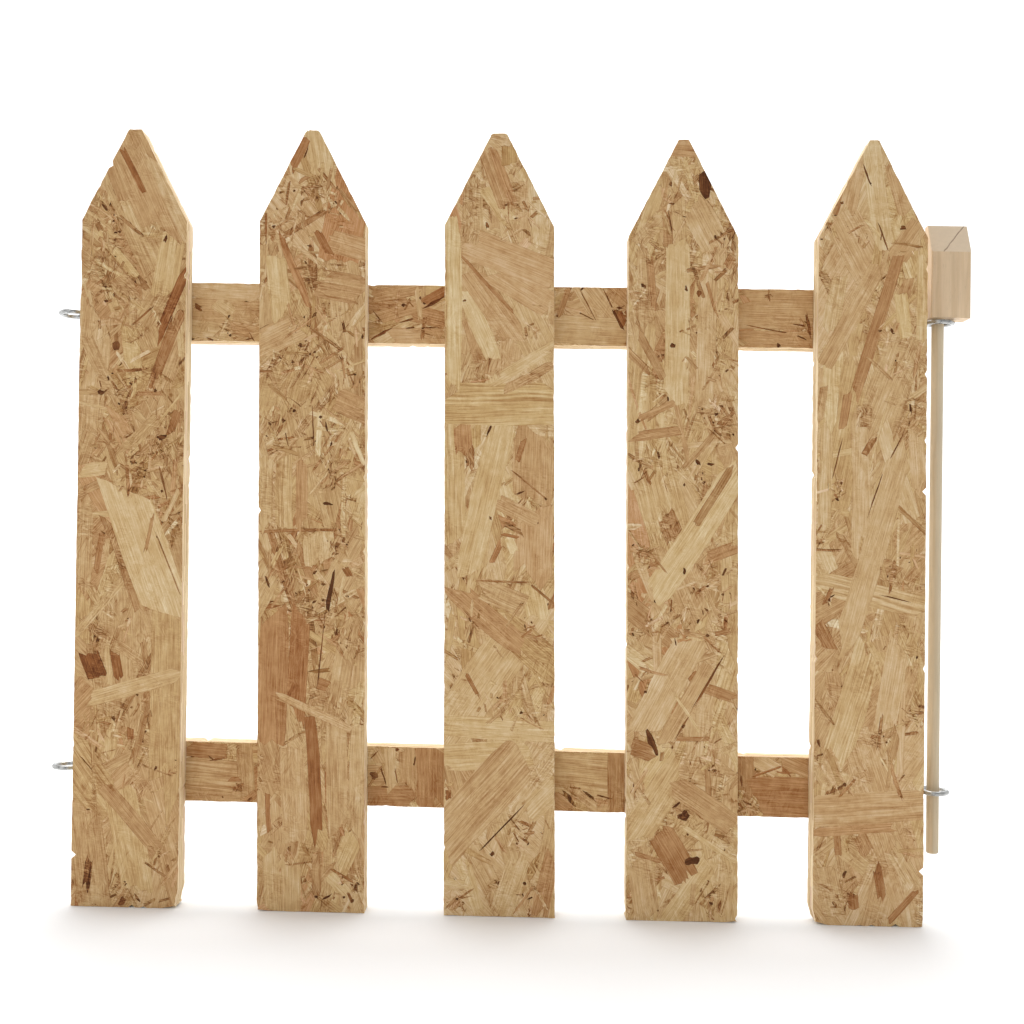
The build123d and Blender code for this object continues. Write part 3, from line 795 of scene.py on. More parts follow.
        (8, 321, 8, 317, 2.6, 0.27, 0.8, 0, 0.5), (1, 324, 2, 320, 1.3, 0.22, 0.6, 0, 0.5),
        (-7, 292, -4, 293, 3, 0.15, 0.6, 0, 0.4), (-23, 299, -10, 275, 4.4, 0.48, 0.35, 0.1, 0.05),
        (-3, 347, -4, 262, 13, 0.695, 0.12, 0.15, 0.05), (-17, 340, -15, 310, 3, 0.51, 0.6, 0.2, 0.5),
        (-22, 346, -20, 297, 5, 0.60, 0.3, 0.3, 0.4), (13, 330, 10, 258, 10, 0.64, 0.3, 0.3, 0.15),
        (-24, 253, -22, 254, 2.4, 0.15, 0.5, 0, 0.5), (-13, 238, -12, 234, 1.5, 0.18, 0.4, 0, 0.5),
        (-26, 245, -1, 249, 5, 0.53, 0.5, 0.3, 0.3), (-24, 254, 1, 266, 3.5, 0.52, 0.5, 0.1, 0.3),
        (6, 234, 9, 231, 3, 0.14, 0.5, 0, 0.5), (-12, 262, -9, 225, 3, 0.70, 0.1, 0.1, 0.2),
        (-5, 268, 3, 232, 2.5, 0.56, 0.45, 0.1, 0.1), (26, 232, 6, 200, 4.2, 0.46, 0.2, 0.1, 0.1),
        (28, 229, -15, 163, 15, 0.71, 0.08, 0.12, 0.02), (-9, 206, -3, 190, 10, 0.51, 0.5, 0.1, 0.7),
        (11, 183, 29, 190, 6.5, 0.54, 0.6, 0.2, 0.2), (-26, 168, -25, 162, 1.8, 0.32, 0.5, 0, 0.4),
        (16, 145, 25, 147, 2.6, 0.50, 0.55, 0, 0.2), (-4, 143, -3, 138, 1, 0.2, 0.5, 0, 0.5),
        (22, 136, 4, 105, 1.6, 0.30, 0.75, 0, 0.02), (4, 105, -4, 91, 1.1, 0.33, 0.6, 0, 0.05),
        (-4, 114, 9, 95, 1.5, 0.73, 0.1, 0, 0.1), (14, 130, -9, 89, 9, 0.59, 0.35, 0.3, 0.05),
        (8, 125, 4, 120, 5, 0.48, 0.7, 0.1, 0.3), (11, 118, 28, 112, 5.5, 0.54, 0.6, 0.1, 0.2),
        (-18, 96, -12, 83, 4.2, 0.14, 0.5, 0, 0.5), (-26, 88, -14, 84, 9, 0.46, 0.5, 0.1, 0.2),
        (-12, 92, 14, 92, 2.3, 0.51, 0.6, 0, 0.2), (5, 142, -20, 95, 17, 0.665, 0.28, 0.15, 0.05),
        (-2, 51, 4, 55, 5.4, 0.12, 0.5, 0, 0.8), (-5, 57, -1, 60, 1.6, 0.2, 0.5, 0, 0.5),
        (1, 29, 9, 32, 5, 0.09, 0.4, 0, 1.0), (-7, 70, 27, 47, 12, 0.57, 0.38, 0.1, 0.05),
        (-12, 46, 3, 20, 14, 0.48, 0.65, 0.2, 0.15), (-24, 34, -10, 30, 2.4, 0.50, 0.6, 0, 0.2),
        (6, 19, 5, 8, 2.5, 0.60, 0.35, 0, 0.1), (14, 30, -8, -2, 11, 0.70, 0.1, 0.2, 0.1),
        (-2, 78, -26, 40, 16, 0.65, 0.15, 0.2, 0.05), (-22, 34, -17, 0, 13, 0.62, 0.28, 0.2, 0.2),
        (0, 48, 28, 30, 3, 0.70, 0.1, 0.2, 0.2), (22, 30, 20, 2, 10, 0.64, 0.2, 0.3, 0.3),
        (-10, 360, -24, 345, 8, 0.64, 0.3, 0.2, 0.3),
    ),
    "picket_5": (
        (-6, 388, -1, 375, 1, 0.28, 0.6, 0, 0.1), (-2, 402, 6, 343, 10, 0.69, 0.15, 0.3, 0.05),
        (-7, 394, -13, 364, 9, 0.62, 0.42, 0.2, 0.2), (9, 390, 17, 362, 9, 0.60, 0.42, 0.2, 0.2),
        (-12, 377, -12, 371, 4.5, 0.48, 0.6, 0, 0.5), (13, 355, 17, 355, 2.6, 0.25, 0.6, 0, 0.6),
        (2, 358, 8, 342, 1.1, 0.28, 0.6, 0, 0.3), (-16, 374, -20, 361, 2.6, 0.46, 0.6, 0, 0.3),
        (13, 341, -9, 268, 6.2, 0.48, 0.62, 0.15, 0.02), (24, 358, 11, 338, 11, 0.61, 0.42, 0.1, 0.1),
        (3, 336, -25, 283, 9, 0.59, 0.36, 0.15, 0.05), (18, 329, 16, 321, 6, 0.55, 0.5, 0, 0.2),
        (14, 322, 17, 298, 7, 0.69, 0.0, 0.1, 0.1), (25, 342, 25, 296, 6, 0.68, 0.1, 0.5, 0.1),
        (-12, 270, -15, 251, 4.6, 0.48, 0.62, 0.1, 0.1), (-14, 250, -20, 226, 0.8, 0.28, 0.4, 0, 0.1),
        (1, 247, -4, 238, 3.6, 0.40, 0.6, 0, 0.5), (-4, 263, -4, 252, 8, 0.55, 0.4, 0.1, 0.6),
        (19, 266, 20, 259, 1.3, 0.16, 0.5, 0, 0.5), (16, 249, 9, 236, 1.0, 0.30, 0.5, 0, 0.2),
        (6, 230, -2, 206, 1.0, 0.22, 0.5, 0, 0.2), (15, 246, -16, 134, 12.5, 0.63, 0.27, 0.15, 0.01),
        (-7, 262, -6, 188, 9, 0.645, 0.3, 0.3, 0.05), (-23, 255, -24, 198, 7, 0.66, 0.2, 0.6, 0.1),
        (5, 167, 22, 163, 0.8, 0.18, 0.5, 0, 0.1), (-31, 174, 31, 160, 12, 0.63, 0.2, 1.0, 0.05),
        (-27, 152, -20, 139, 7, 0.48, 0.6, 0.2, 0.3), (-1, 140, -17, 84, 15, 0.645, 0.15, 0.8, 0.05),
        (15, 142, 8, 100, 12, 0.66, 0.3, 0.2, 0.1), (-26, 94, -25, 89, 1.6, 0.2, 0.5, 0, 0.5),
        (-27, 85, -23, 86, 1.2, 0.22, 0.5, 0, 0.5), (-31, 57, 31, 62, 16, 0.60, 0.42, 0.6, 0.02),
        (-31, 46, 14, 50, 5, 0.55, 0.6, 0.4, 0.1), (-16, 47, -15, 35, 3.6, 0.48, 0.6, 0, 0.3),
        (-5, 46, 0, 36, 8, 0.53, 0.5, 0.1, 0.3), (4, 31, 7, 13, 4.6, 0.40, 0.7, 0, 0.2),
        (-8, 17, -7, 8, 5.5, 0.48, 0.7, 0.1, 0.4), (-13, 24, -11, 28, 2.6, 0.24, 0.4, 0, 0.8),
        (25, 19, 10, 2, 3.4, 0.44, 0.72, 0.1, 0.05), (-12, 70, -22, 66, 2, 0.42, 0.5, 0, 0.9),
        (7, 84, 8, 81, 2.4, 0.42, 0.1, 0, 0.6), (-20, 130, -14, 95, 8, 0.60, 0.4, 0.2, 0.3),
        (12, 40, 24, 20, 9, 0.64, 0.25, 0.3, 0.3), (-22, 30, -16, 4, 12, 0.62, 0.3, 0.2, 0.3),
        (22, 250, 24, 222, 8, 0.66, 0.35, 0.2, 0.2), (-17, 330, -22, 300, 9, 0.66, 0.2, 0.4, 0.2),
    ),
    "top_rail": (
        (-161, 19, -157, 16.5, 2.6, 0.36, 0.6, 0, 0.5), (-154.5, 2, -150, 0.4, 0.9, 0.2, 0.4, 0, 0.4),
        (-143, 3.2, -141, 3.3, 1.5, 0.1, 0.4, 0, 0.5), (-132, 5, -129, 0, 0.7, 0.28, 0.6, 0, 0.3),
        (-134, 1, -130, 2, 0.9, 0.26, 0.5, 0, 0.3), (-165, 27, -125, 25, 9, 0.72, 0.32, 0.2, 0.05),
        (-150, 21, -140, 14, 8, 0.69, 0.2, 0.1, 0.2), (-168, 8, -141, 4, 9, 0.68, 0.25, 0.1, 0.2),
        (-142, 8, -129, 5, 7, 0.62, 0.5, 0.2, 0.3), (-165, 16, -125, 15, 14, 0.62, 0.4, 0.1, 0.1),
        (-41.5, 18, -29, 25.5, 2.0, 0.20, 0.9, 0, 0.2), (-41, 21, -28, 29, 5, 0.50, 0.85, 0.1, 0.1),
        (-53, 11, -46, 13, 1.3, 0.24, 0.8, 0, 0.3), (-69, 1.5, -57, 8, 2.2, 0.28, 0.9, 0, 0.4),
        (-50, 8, -45, 8.5, 1.2, 0.22, 0.7, 0, 0.5), (-42, 8.2, -33, 9, 0.9, 0.30, 0.7, 0, 0.6),
        (-52, 21, -49, 20, 1.0, 0.28, 0.7, 0, 0.4), (-67, 17, -62, 11, 0.8, 0.30, 0.7, 0, 0.4),
        (-44.5, 30, -42, 12, 2.6, 0.66, 0.3, 0.2, 0.3), (-66, 13, -34, 24, 7, 0.60, 0.55, 0.4, 0.15),
        (-68, 24, -40, 30, 7, 0.59, 0.5, 0.4, 0.2), (-58, 4, -28, 4, 9, 0.65, 0.5, 0.2, 0.1),
        (-72, 20, -48, 20, 9, 0.55, 0.6, 0.4, 0.4), (-50, 17, -28, 12, 9, 0.56, 0.65, 0.3, 0.2),
        (53, 31, 59, 19, 1.0, 0.26, 0.7, 0, 0.3), (58, 20, 65.5, 6.5, 1.8, 0.24, 0.7, 0, 0.3),
        (60, 20.6, 64.5, 19.6, 1.3, 0.24, 0.6, 0, 0.5), (41, 30, 50, 13, 0.8, 0.33, 0.6, 0, 0.3),
        (40, 18, 50, 13, 0.7, 0.34, 0.6, 0, 0.3), (61, 19, 65, 11, 4, 0.42, 0.9, 0.2, 0.3),
        (40, 31, 49, 16, 5, 0.68, 0.3, 0.3, 0.2), (36, 32, 30, 14, 3, 0.58, 0.6, 0.2, 0.3),
        (56, 32, 67, 22, 9, 0.59, 0.45, 0.2, 0.1), (26, 9, 70, 7, 15, 0.64, 0.25, 0.25, 0.05),
        (44, 31, 58, 14, 12, 0.64, 0.3, 0.2, 0.1), (152, 13, 160.5, 11.5, 1.1, 0.24, 0.7, 0, 0.4),
        (154, 7, 160, 4.5, 1.1, 0.24, 0.6, 0, 0.4), (159.5, 20, 162, 5, 1.9, 0.34, 0.7, 0, 0.6),
        (144, 1.3, 146.4, 1.8, 2.4, 0.13, 0.4, 0, 0.5), (128, 12, 150, 8, 0.6, 0.38, 0.7, 0, 0.2),
        (139.5, 28, 141, 24, 1.0, 0.3, 0.6, 0, 0.4), (124, 5, 166, 4, 9, 0.60, 0.5, 0.2, 0.1),
        (122, 20, 166, 20, 21, 0.615, 0.42, 0.1, 0.04), (172, 30, 176, 2, 12, 0.6, 0.3, 0.2, 0.2),
    ),
    "bottom_rail": (
        (-150, 21, -141, 23, 1.1, 0.33, 0.7, 0, 0.3), (-150.5, 24, -147, 21, 1.0, 0.28, 0.6, 0, 0.3),
        (-142.5, 3, -141.5, 2, 1.2, 0.2, 0.4, 0, 0.4), (-129.5, 1, -126, 2.6, 1.7, 0.26, 0.5, 0, 0.4),
        (-136, 8, -132, 7.5, 4.5, 0.50, 0.25, 0, 0.7), (-139, 11.8, -133, 12, 2.6, 0.54, 0.7, 0.1, 0.3),
        (-163, 27, -140, 26, 8, 0.54, 0.6, 0.2, 0.1), (-132, 33, -129, 3, 9, 0.575, 0.3, 0.1, 0.1),
        (-166, 14, -131, 12, 18, 0.62, 0.35, 0.95, 0.05), (-168, 4, -128, 3, 8, 0.61, 0.4, 0.5, 0.2),
        (-61, 22, -57, 11, 1.0, 0.24, 0.7, 0, 0.3), (-60, 10, -55.5, 10, 0.9, 0.26, 0.7, 0, 0.3),
        (-53, 20, -51, 11, 0.9, 0.32, 0.7, 0, 0.3), (-66, 24, -61.5, 29, 0.9, 0.28, 0.6, 0, 0.3),
        (-66, 17, -61, 14.5, 3.8, 0.26, 0.35, 0, 0.8), (-43, 20, -42.4, 27, 1.0, 0.24, 0.8, 0, 0.3),
        (-52.6, 30, -51.4, 29, 2.0, 0.36, 0.9, 0, 0.4), (-56, 31, -54, 8.5, 6, 0.71, 0.25, 0.3, 0.05),
        (-47, 32, -45, 10, 9, 0.62, 0.4, 0.15, 0.1), (-35, 33, -33, -2, 16, 0.565, 0.62, 0.3, 0.05),
        (-64, 29, -60, 22, 6, 0.64, 0.3, 0.3, 0.3), (-70, 5, -41, 6, 11, 0.565, 0.6, 0.2, 0.15),
        (33.5, 11, 42, 2, 2.8, 0.30, 0.1, 0, 0.8), (44.5, 11.4, 52.5, 5.4, 1.7, 0.26, 0.1, 0, 0.5),
        (52, 9, 60, 7, 0.7, 0.36, 0.5, 0, 0.3), (38, 12.5, 44, 12, 1.0, 0.42, 0.5, 0, 0.4),
        (38, 12, 53, 2, 5, 0.64, 0.3, 0.3, 0.2), (29, 7, 38, 1, 9, 0.58, 0.6, 0.9, 0.2),
        (62, 34, 63, -3, 10, 0.545, 0.4, 0.3, 0.1), (26, 20, 70, 17, 23, 0.595, 0.2, 0.5, 0.04),
        (126, 21.5, 126.8, 15, 1.1, 0.28, 0.6, 0, 0.4), (132, 20.6, 147.5, 26.4, 1.1, 0.5, 0.95, 0, 0.2),
        (147, 26.5, 152, 21, 0.8, 0.5, 0.9, 0, 0.2), (133, 30, 146, 23, 8, 0.70, 0.3, 0.25, 0.1),
        (146, 31, 163, 24, 9, 0.60, 0.5, 0.2, 0.1), (133, 10, 166, 9, 23, 0.55, 0.72, 0.25, 0.06),
        (128, 33, 129, 10, 9, 0.57, 0.5, 0.2, 0.2), (124, 5, 134, 5, 9, 0.62, 0.3, 0.2, 0.6),
    ),
}

# Where fine torn bits gather on each board's front: across, up and reach in millimetres
BEDS = {
    "picket_1": ((-12, 352, 9), (-14, 332, 10), (-12, 312, 11), (0, 300, 9), (-6, 270, 11),
                 (8, 262, 9), (-14, 236, 8), (6, 225, 10), (-4, 145, 6), (-16, 92, 8),
                 (6, 100, 8), (20, 70, 5), (24, 22, 7), (0, 4, 6)),
    "picket_2": ((0, 370, 9), (14, 362, 8), (-12, 358, 9), (8, 300, 10), (24, 295, 5),
                 (-6, 300, 7), (-10, 280, 12), (10, 278, 10), (-12, 255, 11), (8, 240, 8),
                 (-18, 172, 10), (-4, 165, 7), (18, 185, 9), (16, 160, 8), (14, 135, 9),
                 (10, 220, 7), (-12, 27, 5), (20, 8, 7)),
    "picket_3": ((14, 362, 8), (6, 352, 6), (25, 306, 4), (16, 300, 5), (14, 147, 8),
                 (-12, 152, 5), (-2, 108, 9), (20, 102, 6), (10, 40, 8), (-20, 8, 7),
                 (15, 8, 6), (-25, 66, 4)),
    "picket_4": ((-6, 372, 7), (-10, 358, 6), (9, 333, 7), (3, 300, 4), (3, 282, 4), (22, 345, 5),
                 (-22, 320, 6), (22, 315, 7), (20, 280, 7), (-18, 230, 8), (16, 255, 10),
                 (10, 225, 6), (-20, 185, 8), (10, 172, 8), (20, 160, 7), (-14, 150, 9),
                 (6, 150, 7), (-20, 125, 7), (14, 82, 10), (15, 10, 7), (-22, 68, 4)),
    "picket_5": ((-20, 355, 7), (-3, 350, 6), (20, 345, 4), (5, 300, 6), (14, 285, 8),
                 (-18, 222, 6), (-26, 195, 5), (22, 188, 7), (-24, 165, 5), (8, 176, 5),
                 (24, 105, 6), (5, 95, 6), (-25, 112, 5), (-12, 70, 4), (14, 78, 6), (20, 40, 5),
                 (-14, 12, 6)),
    "top_rail": ((-143, 6, 4), (-66, 14, 4), (-40, 9, 4), (-50, 20, 4), (62, 17, 3), (141, 27, 3),
                 (157, 12, 4)),
    "bottom_rail": ((-134, 8, 3), (-63, 16, 3), (37, 8, 3), (128, 5, 4)),
}

# Knocked or worn places on the outlines: across, up, reach and depth in millimetres
CHIPS = {
    "picket_1": ((-27.5, 347, 14, 0.5), (-27.5, 322, 10, 0.7), (27.5, 1, 7, 1.6)),
    "picket_2": ((-27.5, 0, 5, 0.8),),
    "picket_4": ((28, 0, 4, 0.8),),
    "picket_5": ((-28, 0, 7, 2.0), (28, 0, 4, 0.6)),
}


def showing_strands(name, foot, up, rng):
    """The strands and torn bits listed for a board's front, the top one first."""
    relief = bpy.context.scene.gate_board.relief / MM
    across, lift, lie = np.array([up[1], -up[0]]), MOODS[name][3], LIE[name]

    def spot(x, z):
        return foot + across * x + up * z

    made, marks = [], []
    for x, z, reach in BEDS.get(name, ()):
        for _ in range(int(0.9 * reach ** 1.35)):
            is_long = rng.random() < 0.35
            length = rng.uniform(7, 20) if is_long else rng.uniform(2, 7)
            width = rng.uniform(0.5, 2.2) if is_long else rng.uniform(0.4, 1.7)
            is_hole = rng.random() < 0.07
            # holes get a dark tone, painted shade in them
            look = (
                rng.uniform(0.08, 0.3) if is_hole
                else float(np.clip(rng.normal(0.61 + lift, 0.12), 0.47 if is_long else 0.3, 1)),
                rng.uniform(0.05, 0.7), rng.uniform(0, 0.4), rng.uniform(0.4, 1.0),
            )
            deep = rng.uniform(0.25, 0.4) if is_hole else rng.uniform(0.0, 0.9) * relief
            shrink = 0.25 if is_hole else 1.0
            centre = spot(x, z) + rng.normal(0, 0.55 * reach, 2)
            made.append(Strand(
                centre, lie + rng.normal(0, 0.9),
                (hole_outline if is_hole else strand_outline)(length * shrink, width, rng), deep,
                look, rng.uniform(-500, 500, 2),
            ))
    rows = SHOWING.get(name, ())
    for order, (x1, z1, x2, z2, width, tone, red, banding, torn) in enumerate(rows):
        start, end = spot(x1, z1), spot(x2, z2)
        run = end - start
        # dark narrow marks become sunk holes; their dark tone is painted shade
        is_hole = tone < HOLE_TONE and width < HOLE_WIDTH
        level = HOLE_LEVEL if is_hole else relief * 0.7 * order / len(rows)
        shape = hole_outline if is_hole else strand_outline
        ragged = () if is_hole else (0.15 + 0.75 * torn,)
        outline = shape(float(np.linalg.norm(run)), width, rng, *ragged)
        (marks if is_hole else made).append(Strand(
            (start + end) / 2, math.atan2(run[1], run[0]), outline, level,
            (tone if is_hole else tone + lift, red, banding, torn), rng.uniform(-500, 500, 2),
        ))
    return marks + made


def random_strands(low, high, area_share, lie, mood, rng):
    """Strands of every size over a rectangle, the top one first."""
    settings = bpy.context.scene.gate_board
    relief = settings.relief / MM
    flakes, slivers, crumbs, tone_shift, red_share = mood
    beds = [rng.uniform(low, high) for _ in range(max(3, int(11 * area_share * crumbs)))]
    bed_sizes = rng.uniform(5, 15, len(beds))

    def one(length, width, spread, tone, tone_spread, deep, torn, bedded):
        if bedded:
            bed = int(rng.integers(len(beds)))
            centre = beds[bed] + rng.normal(0, bed_sizes[bed], 2)
        else:
            centre = rng.uniform(low - 5, high + 5)
        is_red = rng.random() < red_share
        look = (
            float(np.clip(rng.normal(tone + tone_shift, tone_spread), 0.1, 1)),
            rng.uniform(0.4, 0.95) if is_red else rng.uniform(0.05, 0.4),
            rng.beta(1.1, 3.0), torn,
        )
        return Strand(centre, lie + rng.normal(0, spread), strand_outline(length, width, rng),
                      deep * relief, look, rng.uniform(-500, 500, 2))

    def flake(deep):
        return one(rng.uniform(38, 105), rng.uniform(9, 24), 0.5, 0.63, 0.045, deep,
                   rng.uniform(0.0, 0.45), False)

    def sliver(deep):
        return one(rng.uniform(12, 58), rng.uniform(1.0, 5.5), 0.7, 0.61, 0.075, deep,
                   rng.uniform(0.1, 0.8), rng.random() < 0.35)

    def crumb(deep):
        return one(rng.uniform(2.5, 12), rng.uniform(0.5, 2.2), 1.3, 0.59, 0.10, deep,
                   rng.uniform(0.3, 1.0), rng.random() < 0.8)

    def heap(kinds, low_level, high_level):
        made = [
            kind(rng.uniform(low_level, high_level))
            for kind, count in kinds for _ in range(int(round(count * area_share)))
        ]
        rng.shuffle(made)
        return made

    top = heap(((flake, settings.flakes * 0.30 * flakes), (sliver, settings.slivers * 0.45 * slivers),
                (crumb, settings.crumbs * 0.65 * crumbs)), 0.0, 0.6)
    base = heap(((flake, settings.flakes * 0.70), (sliver, settings.slivers * 0.4),
                 (crumb, settings.crumbs * 0.25)), 0.4, 1.1)
    return top + base


def add_voids(strands, count, rng):
    """Sinks small holes and cracks in beside the strands that lie on top, toned dark as painted shade.
    """
    for _ in range(count):
        at = int(rng.integers(0, max(4, len(strands) // 2)))
        outline = strands[at].outline
        edge = int(rng.integers(len(outline)))
        here, there = outline[edge], outline[(edge + 1) % len(outline)]
        run = there - here
        reach = float(np.linalg.norm(run))
        is_crack = rng.random() < 0.55 and reach > 5
        length = min(reach * 0.8, rng.uniform(2, 6)) if is_crack else rng.uniform(0.7, 2.4)
        width = rng.uniform(0.2, 0.5) if is_crack else rng.uniform(0.5, 1.5)
        # a dark tone: painted shade in each hole and crack
        look = (rng.uniform(0.04, 0.30), 0.4, 0.2, 0.5)
        hole = Strand(
            here + run * rng.uniform(0.2, 0.8), math.atan2(run[1], run[0]),
            hole_outline(length * 1.2, width * 1.2, rng), rng.uniform(0.25, 0.4), look,
            rng.uniform(-500, 500, 2),
        )
        strands.insert(at + int(is_crack), hole)
    return strands


def stack_of(strands):
    """The strands as flat leaves at falling heights, for rays from above."""
    verts, leaves = [], []
    for order, strand in enumerate(strands):
        leaves.append(list(range(len(verts), len(verts) + len(strand.outline))))
        verts += [(x, y, -float(order)) for x, y in strand.outline]
    return BVHTree.FromPolygons(verts, leaves)


def topmost(stack, points, otherwise):
    """The number of the strand on top at each point."""
    down = Vector((0, 0, -1))
    hits = (stack.ray_cast(Vector((x, y, 1.0)), down)[2] for x, y in points)
    return np.array([otherwise if hit is None else hit for hit in hits], int)


def unburied(strands):
    """The strands that show anywhere, judged at points spread over each."""
    stack = stack_of(strands)
    points, order = [], []
    for i, strand in enumerate(strands):
        middle = strand.outline.mean(0)
        spread = np.concatenate([
            middle + (strand.outline - middle) * reach for reach in (0.97, 0.75, 0.45, 0.15)
        ])
        points.append(spread)
        order.append(np.full(len(spread), i))
    points, order = np.concatenate(points), np.concatenate(order)
    seen = topmost(stack, points, len(strands)) >= order
    return [strands[i] for i in np.unique(order[seen])]


def shown_edges(strands, stack, lip, border):
    """The parts of every strand's outline, and of its slope's foot, that no higher one covers."""
    boxes = np.array([(*s.outline.min(0), *s.outline.max(0)) for s in strands])
    offsets = np.concatenate([[0], np.cumsum([len(s.outline) for s in strands])])
    all_starts = np.concatenate([s.outline for s in strands])
    all_sides = np.concatenate([np.roll(s.outline, -1, axis=0) - s.outline for s in strands])
    border_sides = np.roll(border, -1, axis=0) - border
    box_of_edge = np.repeat(np.arange(len(strands)), np.diff(offsets))
    starts, runs, order = [], [], []
    for i, strand in enumerate(strands):
        low, high = boxes[i, :2], boxes[i, 2:]
        over = (
            (boxes[:i, 0] < high[0]) & (boxes[:i, 2] > low[0])
            & (boxes[:i, 1] < high[1]) & (boxes[:i, 3] > low[1])
        )
        rows = np.nonzero(over[box_of_edge[:offsets[i]]])[0]
        cut_starts = np.concatenate([all_starts[rows], border])
        side = np.concatenate([all_sides[rows], border_sides])
        rings = (strand.outline, drawn_in(strand.outline, lip))
        begin = np.concatenate(rings)
        run = np.concatenate([np.roll(r, -1, axis=0) - r for r in rings])
        gap = cut_starts[None] - begin[:, None]
        cross = run[:, None, 0] * side[None, :, 1] - run[:, None, 1] * side[None, :, 0]
        with np.errstate(divide="ignore", invalid="ignore"):
            t = (gap[..., 0] * side[None, :, 1] - gap[..., 1] * side[None, :, 0]) / cross
            u = (gap[..., 0] * run[:, None, 1] - gap[..., 1] * run[:, None, 0]) / cross
        hit = (t > 0) & (t < 1) & (u >= 0) & (u <= 1)
        count = len(begin)
        shares = np.concatenate([np.zeros(count), np.ones(count), t[hit]])
        owner = np.concatenate([np.arange(count), np.arange(count), np.nonzero(hit)[0]])
        by_edge = np.lexsort((shares, owner))
        shares, owner = shares[by_edge], owner[by_edge]
        same = (owner[1:] == owner[:-1]) & (shares[1:] - shares[:-1] > 1e-6)
        first, last, owner = shares[:-1][same], shares[1:][same], owner[1:][same]
        starts.append(begin[owner] + run[owner] * first[:, None])
        runs.append(run[owner] * (last - first)[:, None])
        order.append(np.full(len(owner), i))
    starts, runs, order = np.concatenate(starts), np.concatenate(runs), np.concatenate(order)
    middles = starts + runs / 2
    seen = within(middles, border)
    seen[seen] = topmost(stack, middles[seen], len(strands)) >= order[seen]
    return starts[seen], starts[seen] + runs[seen]


def face_of_strands(strands, rim, lip, holes):
    """Splits a board's face along its strands' edges.

    Gives the points, their depth, the triangles, each one's strand and, for each corner of
    each triangle, how far it is in from that strand's edge.  The rim's points come first.
    """
    stack = stack_of(strands)
    starts, ends = shown_edges(strands, stack, lip, drawn_in(rim, FACE_INSET))
    count = len(rim)
    points = [Vector(p) for p in rim]
    links = [(i, (i + 1) % count) for i in range(count)]
    for start, end in zip(starts, ends):
        links.append((len(points), len(points) + 1))
        points += [Vector(start), Vector(end)]
    for centre, radius in holes:
        first = len(points)
        points += [
            Vector((centre[0] + radius * math.cos(a), centre[1] + radius * math.sin(a)))
            for a in np.linspace(0, 2 * math.pi, ROUND_SIDES, endpoint=False)
        ]
        links += [(first + i, first + (i + 1) % ROUND_SIDES) for i in range(ROUND_SIDES)]
    found, _, faces, origins, _, _ = delaunay_2d_cdt(points, links, [], 0, WELD)
    where = {}
    for index, source in enumerate(origins):
        for old in source:
            if old < count:
                where[old] = index
    order = [where[i] for i in range(count)]
    taken = set(order)
    order += [i for i in range(len(found)) if i not in taken]
    place = np.empty(len(found), int)
    place[order] = np.arange(len(order))
    spots = np.array([found[i] for i in order])
    triangles = place[np.array([tuple(f) for f in faces])]
    middles = spots[triangles].mean(1)
    keep = within(middles, rim)
    for centre, radius in holes:
        keep &= np.linalg.norm(middles - centre, axis=1) > radius * 0.99
    triangles, middles = triangles[keep], middles[keep]
    owner = topmost(stack, middles, len(strands) - 1)
    depth = np.full(len(spots), strands[-1].level)
    inward = np.zeros((len(triangles), 3))
    for index in np.unique(owner)[::-1]:
        strand = strands[index]
        low, high = strand.outline.min(0) - 0.01, strand.outline.max(0) + 0.01
        near = np.nonzero(((spots > low) & (spots < high)).all(1))[0]
        near = near[is_inside(spots[near], strand.outline)]
        share = np.clip(edge_distance(spots[near], strand.outline) / lip, 0, 1)
        depth[near] += (strand.level - depth[near]) * share
        mine = np.nonzero(owner == index)[0]
        corners = spots[triangles[mine]].reshape(-1, 2)
        inward[mine] = np.clip(edge_distance(corners, strand.outline) / lip, 0, 1).reshape(-1, 3)
    return spots, depth, triangles, owner, inward


# --- boards -------------------------------------------------------------------------------------


def hull(points):
    """Outline of a convex set of points, anticlockwise."""
    points = sorted(set(map(tuple, np.round(points, 4))))

    def half(run):
        chain = []
        for p in run:
            while len(chain) > 1 and (
                (chain[-1][0] - chain[-2][0]) * (p[1] - chain[-2][1])
                - (chain[-1][1] - chain[-2][1]) * (p[0] - chain[-2][0])
            ) <= 1e-6:
                chain.pop()
            chain.append(p)
        return chain[:-1]

    return np.array(half(points) + half(points[::-1]))


def walked(outline, pace):
    """The outline with points added so that none of its steps is longer than pace."""
    result = []
    for here, there in zip(outline, np.roll(outline, -1, axis=0)):
        steps = max(1, int(round(np.linalg.norm(there - here) / pace)))
        result += [here + (there - here) * i / steps for i in range(steps)]
    return np.array(result)


def smooth_random(count, reach, rng):
    """Random values round a loop, smoothed over reach steps, with a spread of one."""
    raw = rng.normal(0, 1, count)
    kernel = np.hanning(reach + 2)[1:-1]
    spread = np.real(np.fft.ifft(np.fft.fft(raw) * np.fft.fft(kernel, count)))
    return spread / max(spread.std(), 1e-9)


def saw_edges(outline, wander, chips, rng):
    """Two ragged rims, front and back, moved in from the outline, and the inward direction."""
    along = np.roll(outline, -1, axis=0) - np.roll(outline, 1, axis=0)
    along /= np.linalg.norm(along, axis=1)[:, None]
    inward = np.stack([-along[:, 1], along[:, 0]], 1)
    count = len(outline)
    rims = []
    for _ in range(2):
        shift = np.abs(smooth_random(count, 2, rng)) * 0.45 + np.abs(
            smooth_random(count, 9, rng)) * 0.4
        nicks = (rng.random(count) < 0.035) * rng.exponential(2.0, count)
        shift = (shift + nicks) * wander
        for at, radius, depth in chips:
            gap = np.linalg.norm(outline - np.asarray(at), axis=1)
            shift += depth * np.clip(1 - gap / radius, 0, 1) ** 0.7
        rims.append(outline + inward * shift[:, None])
    return rims, inward


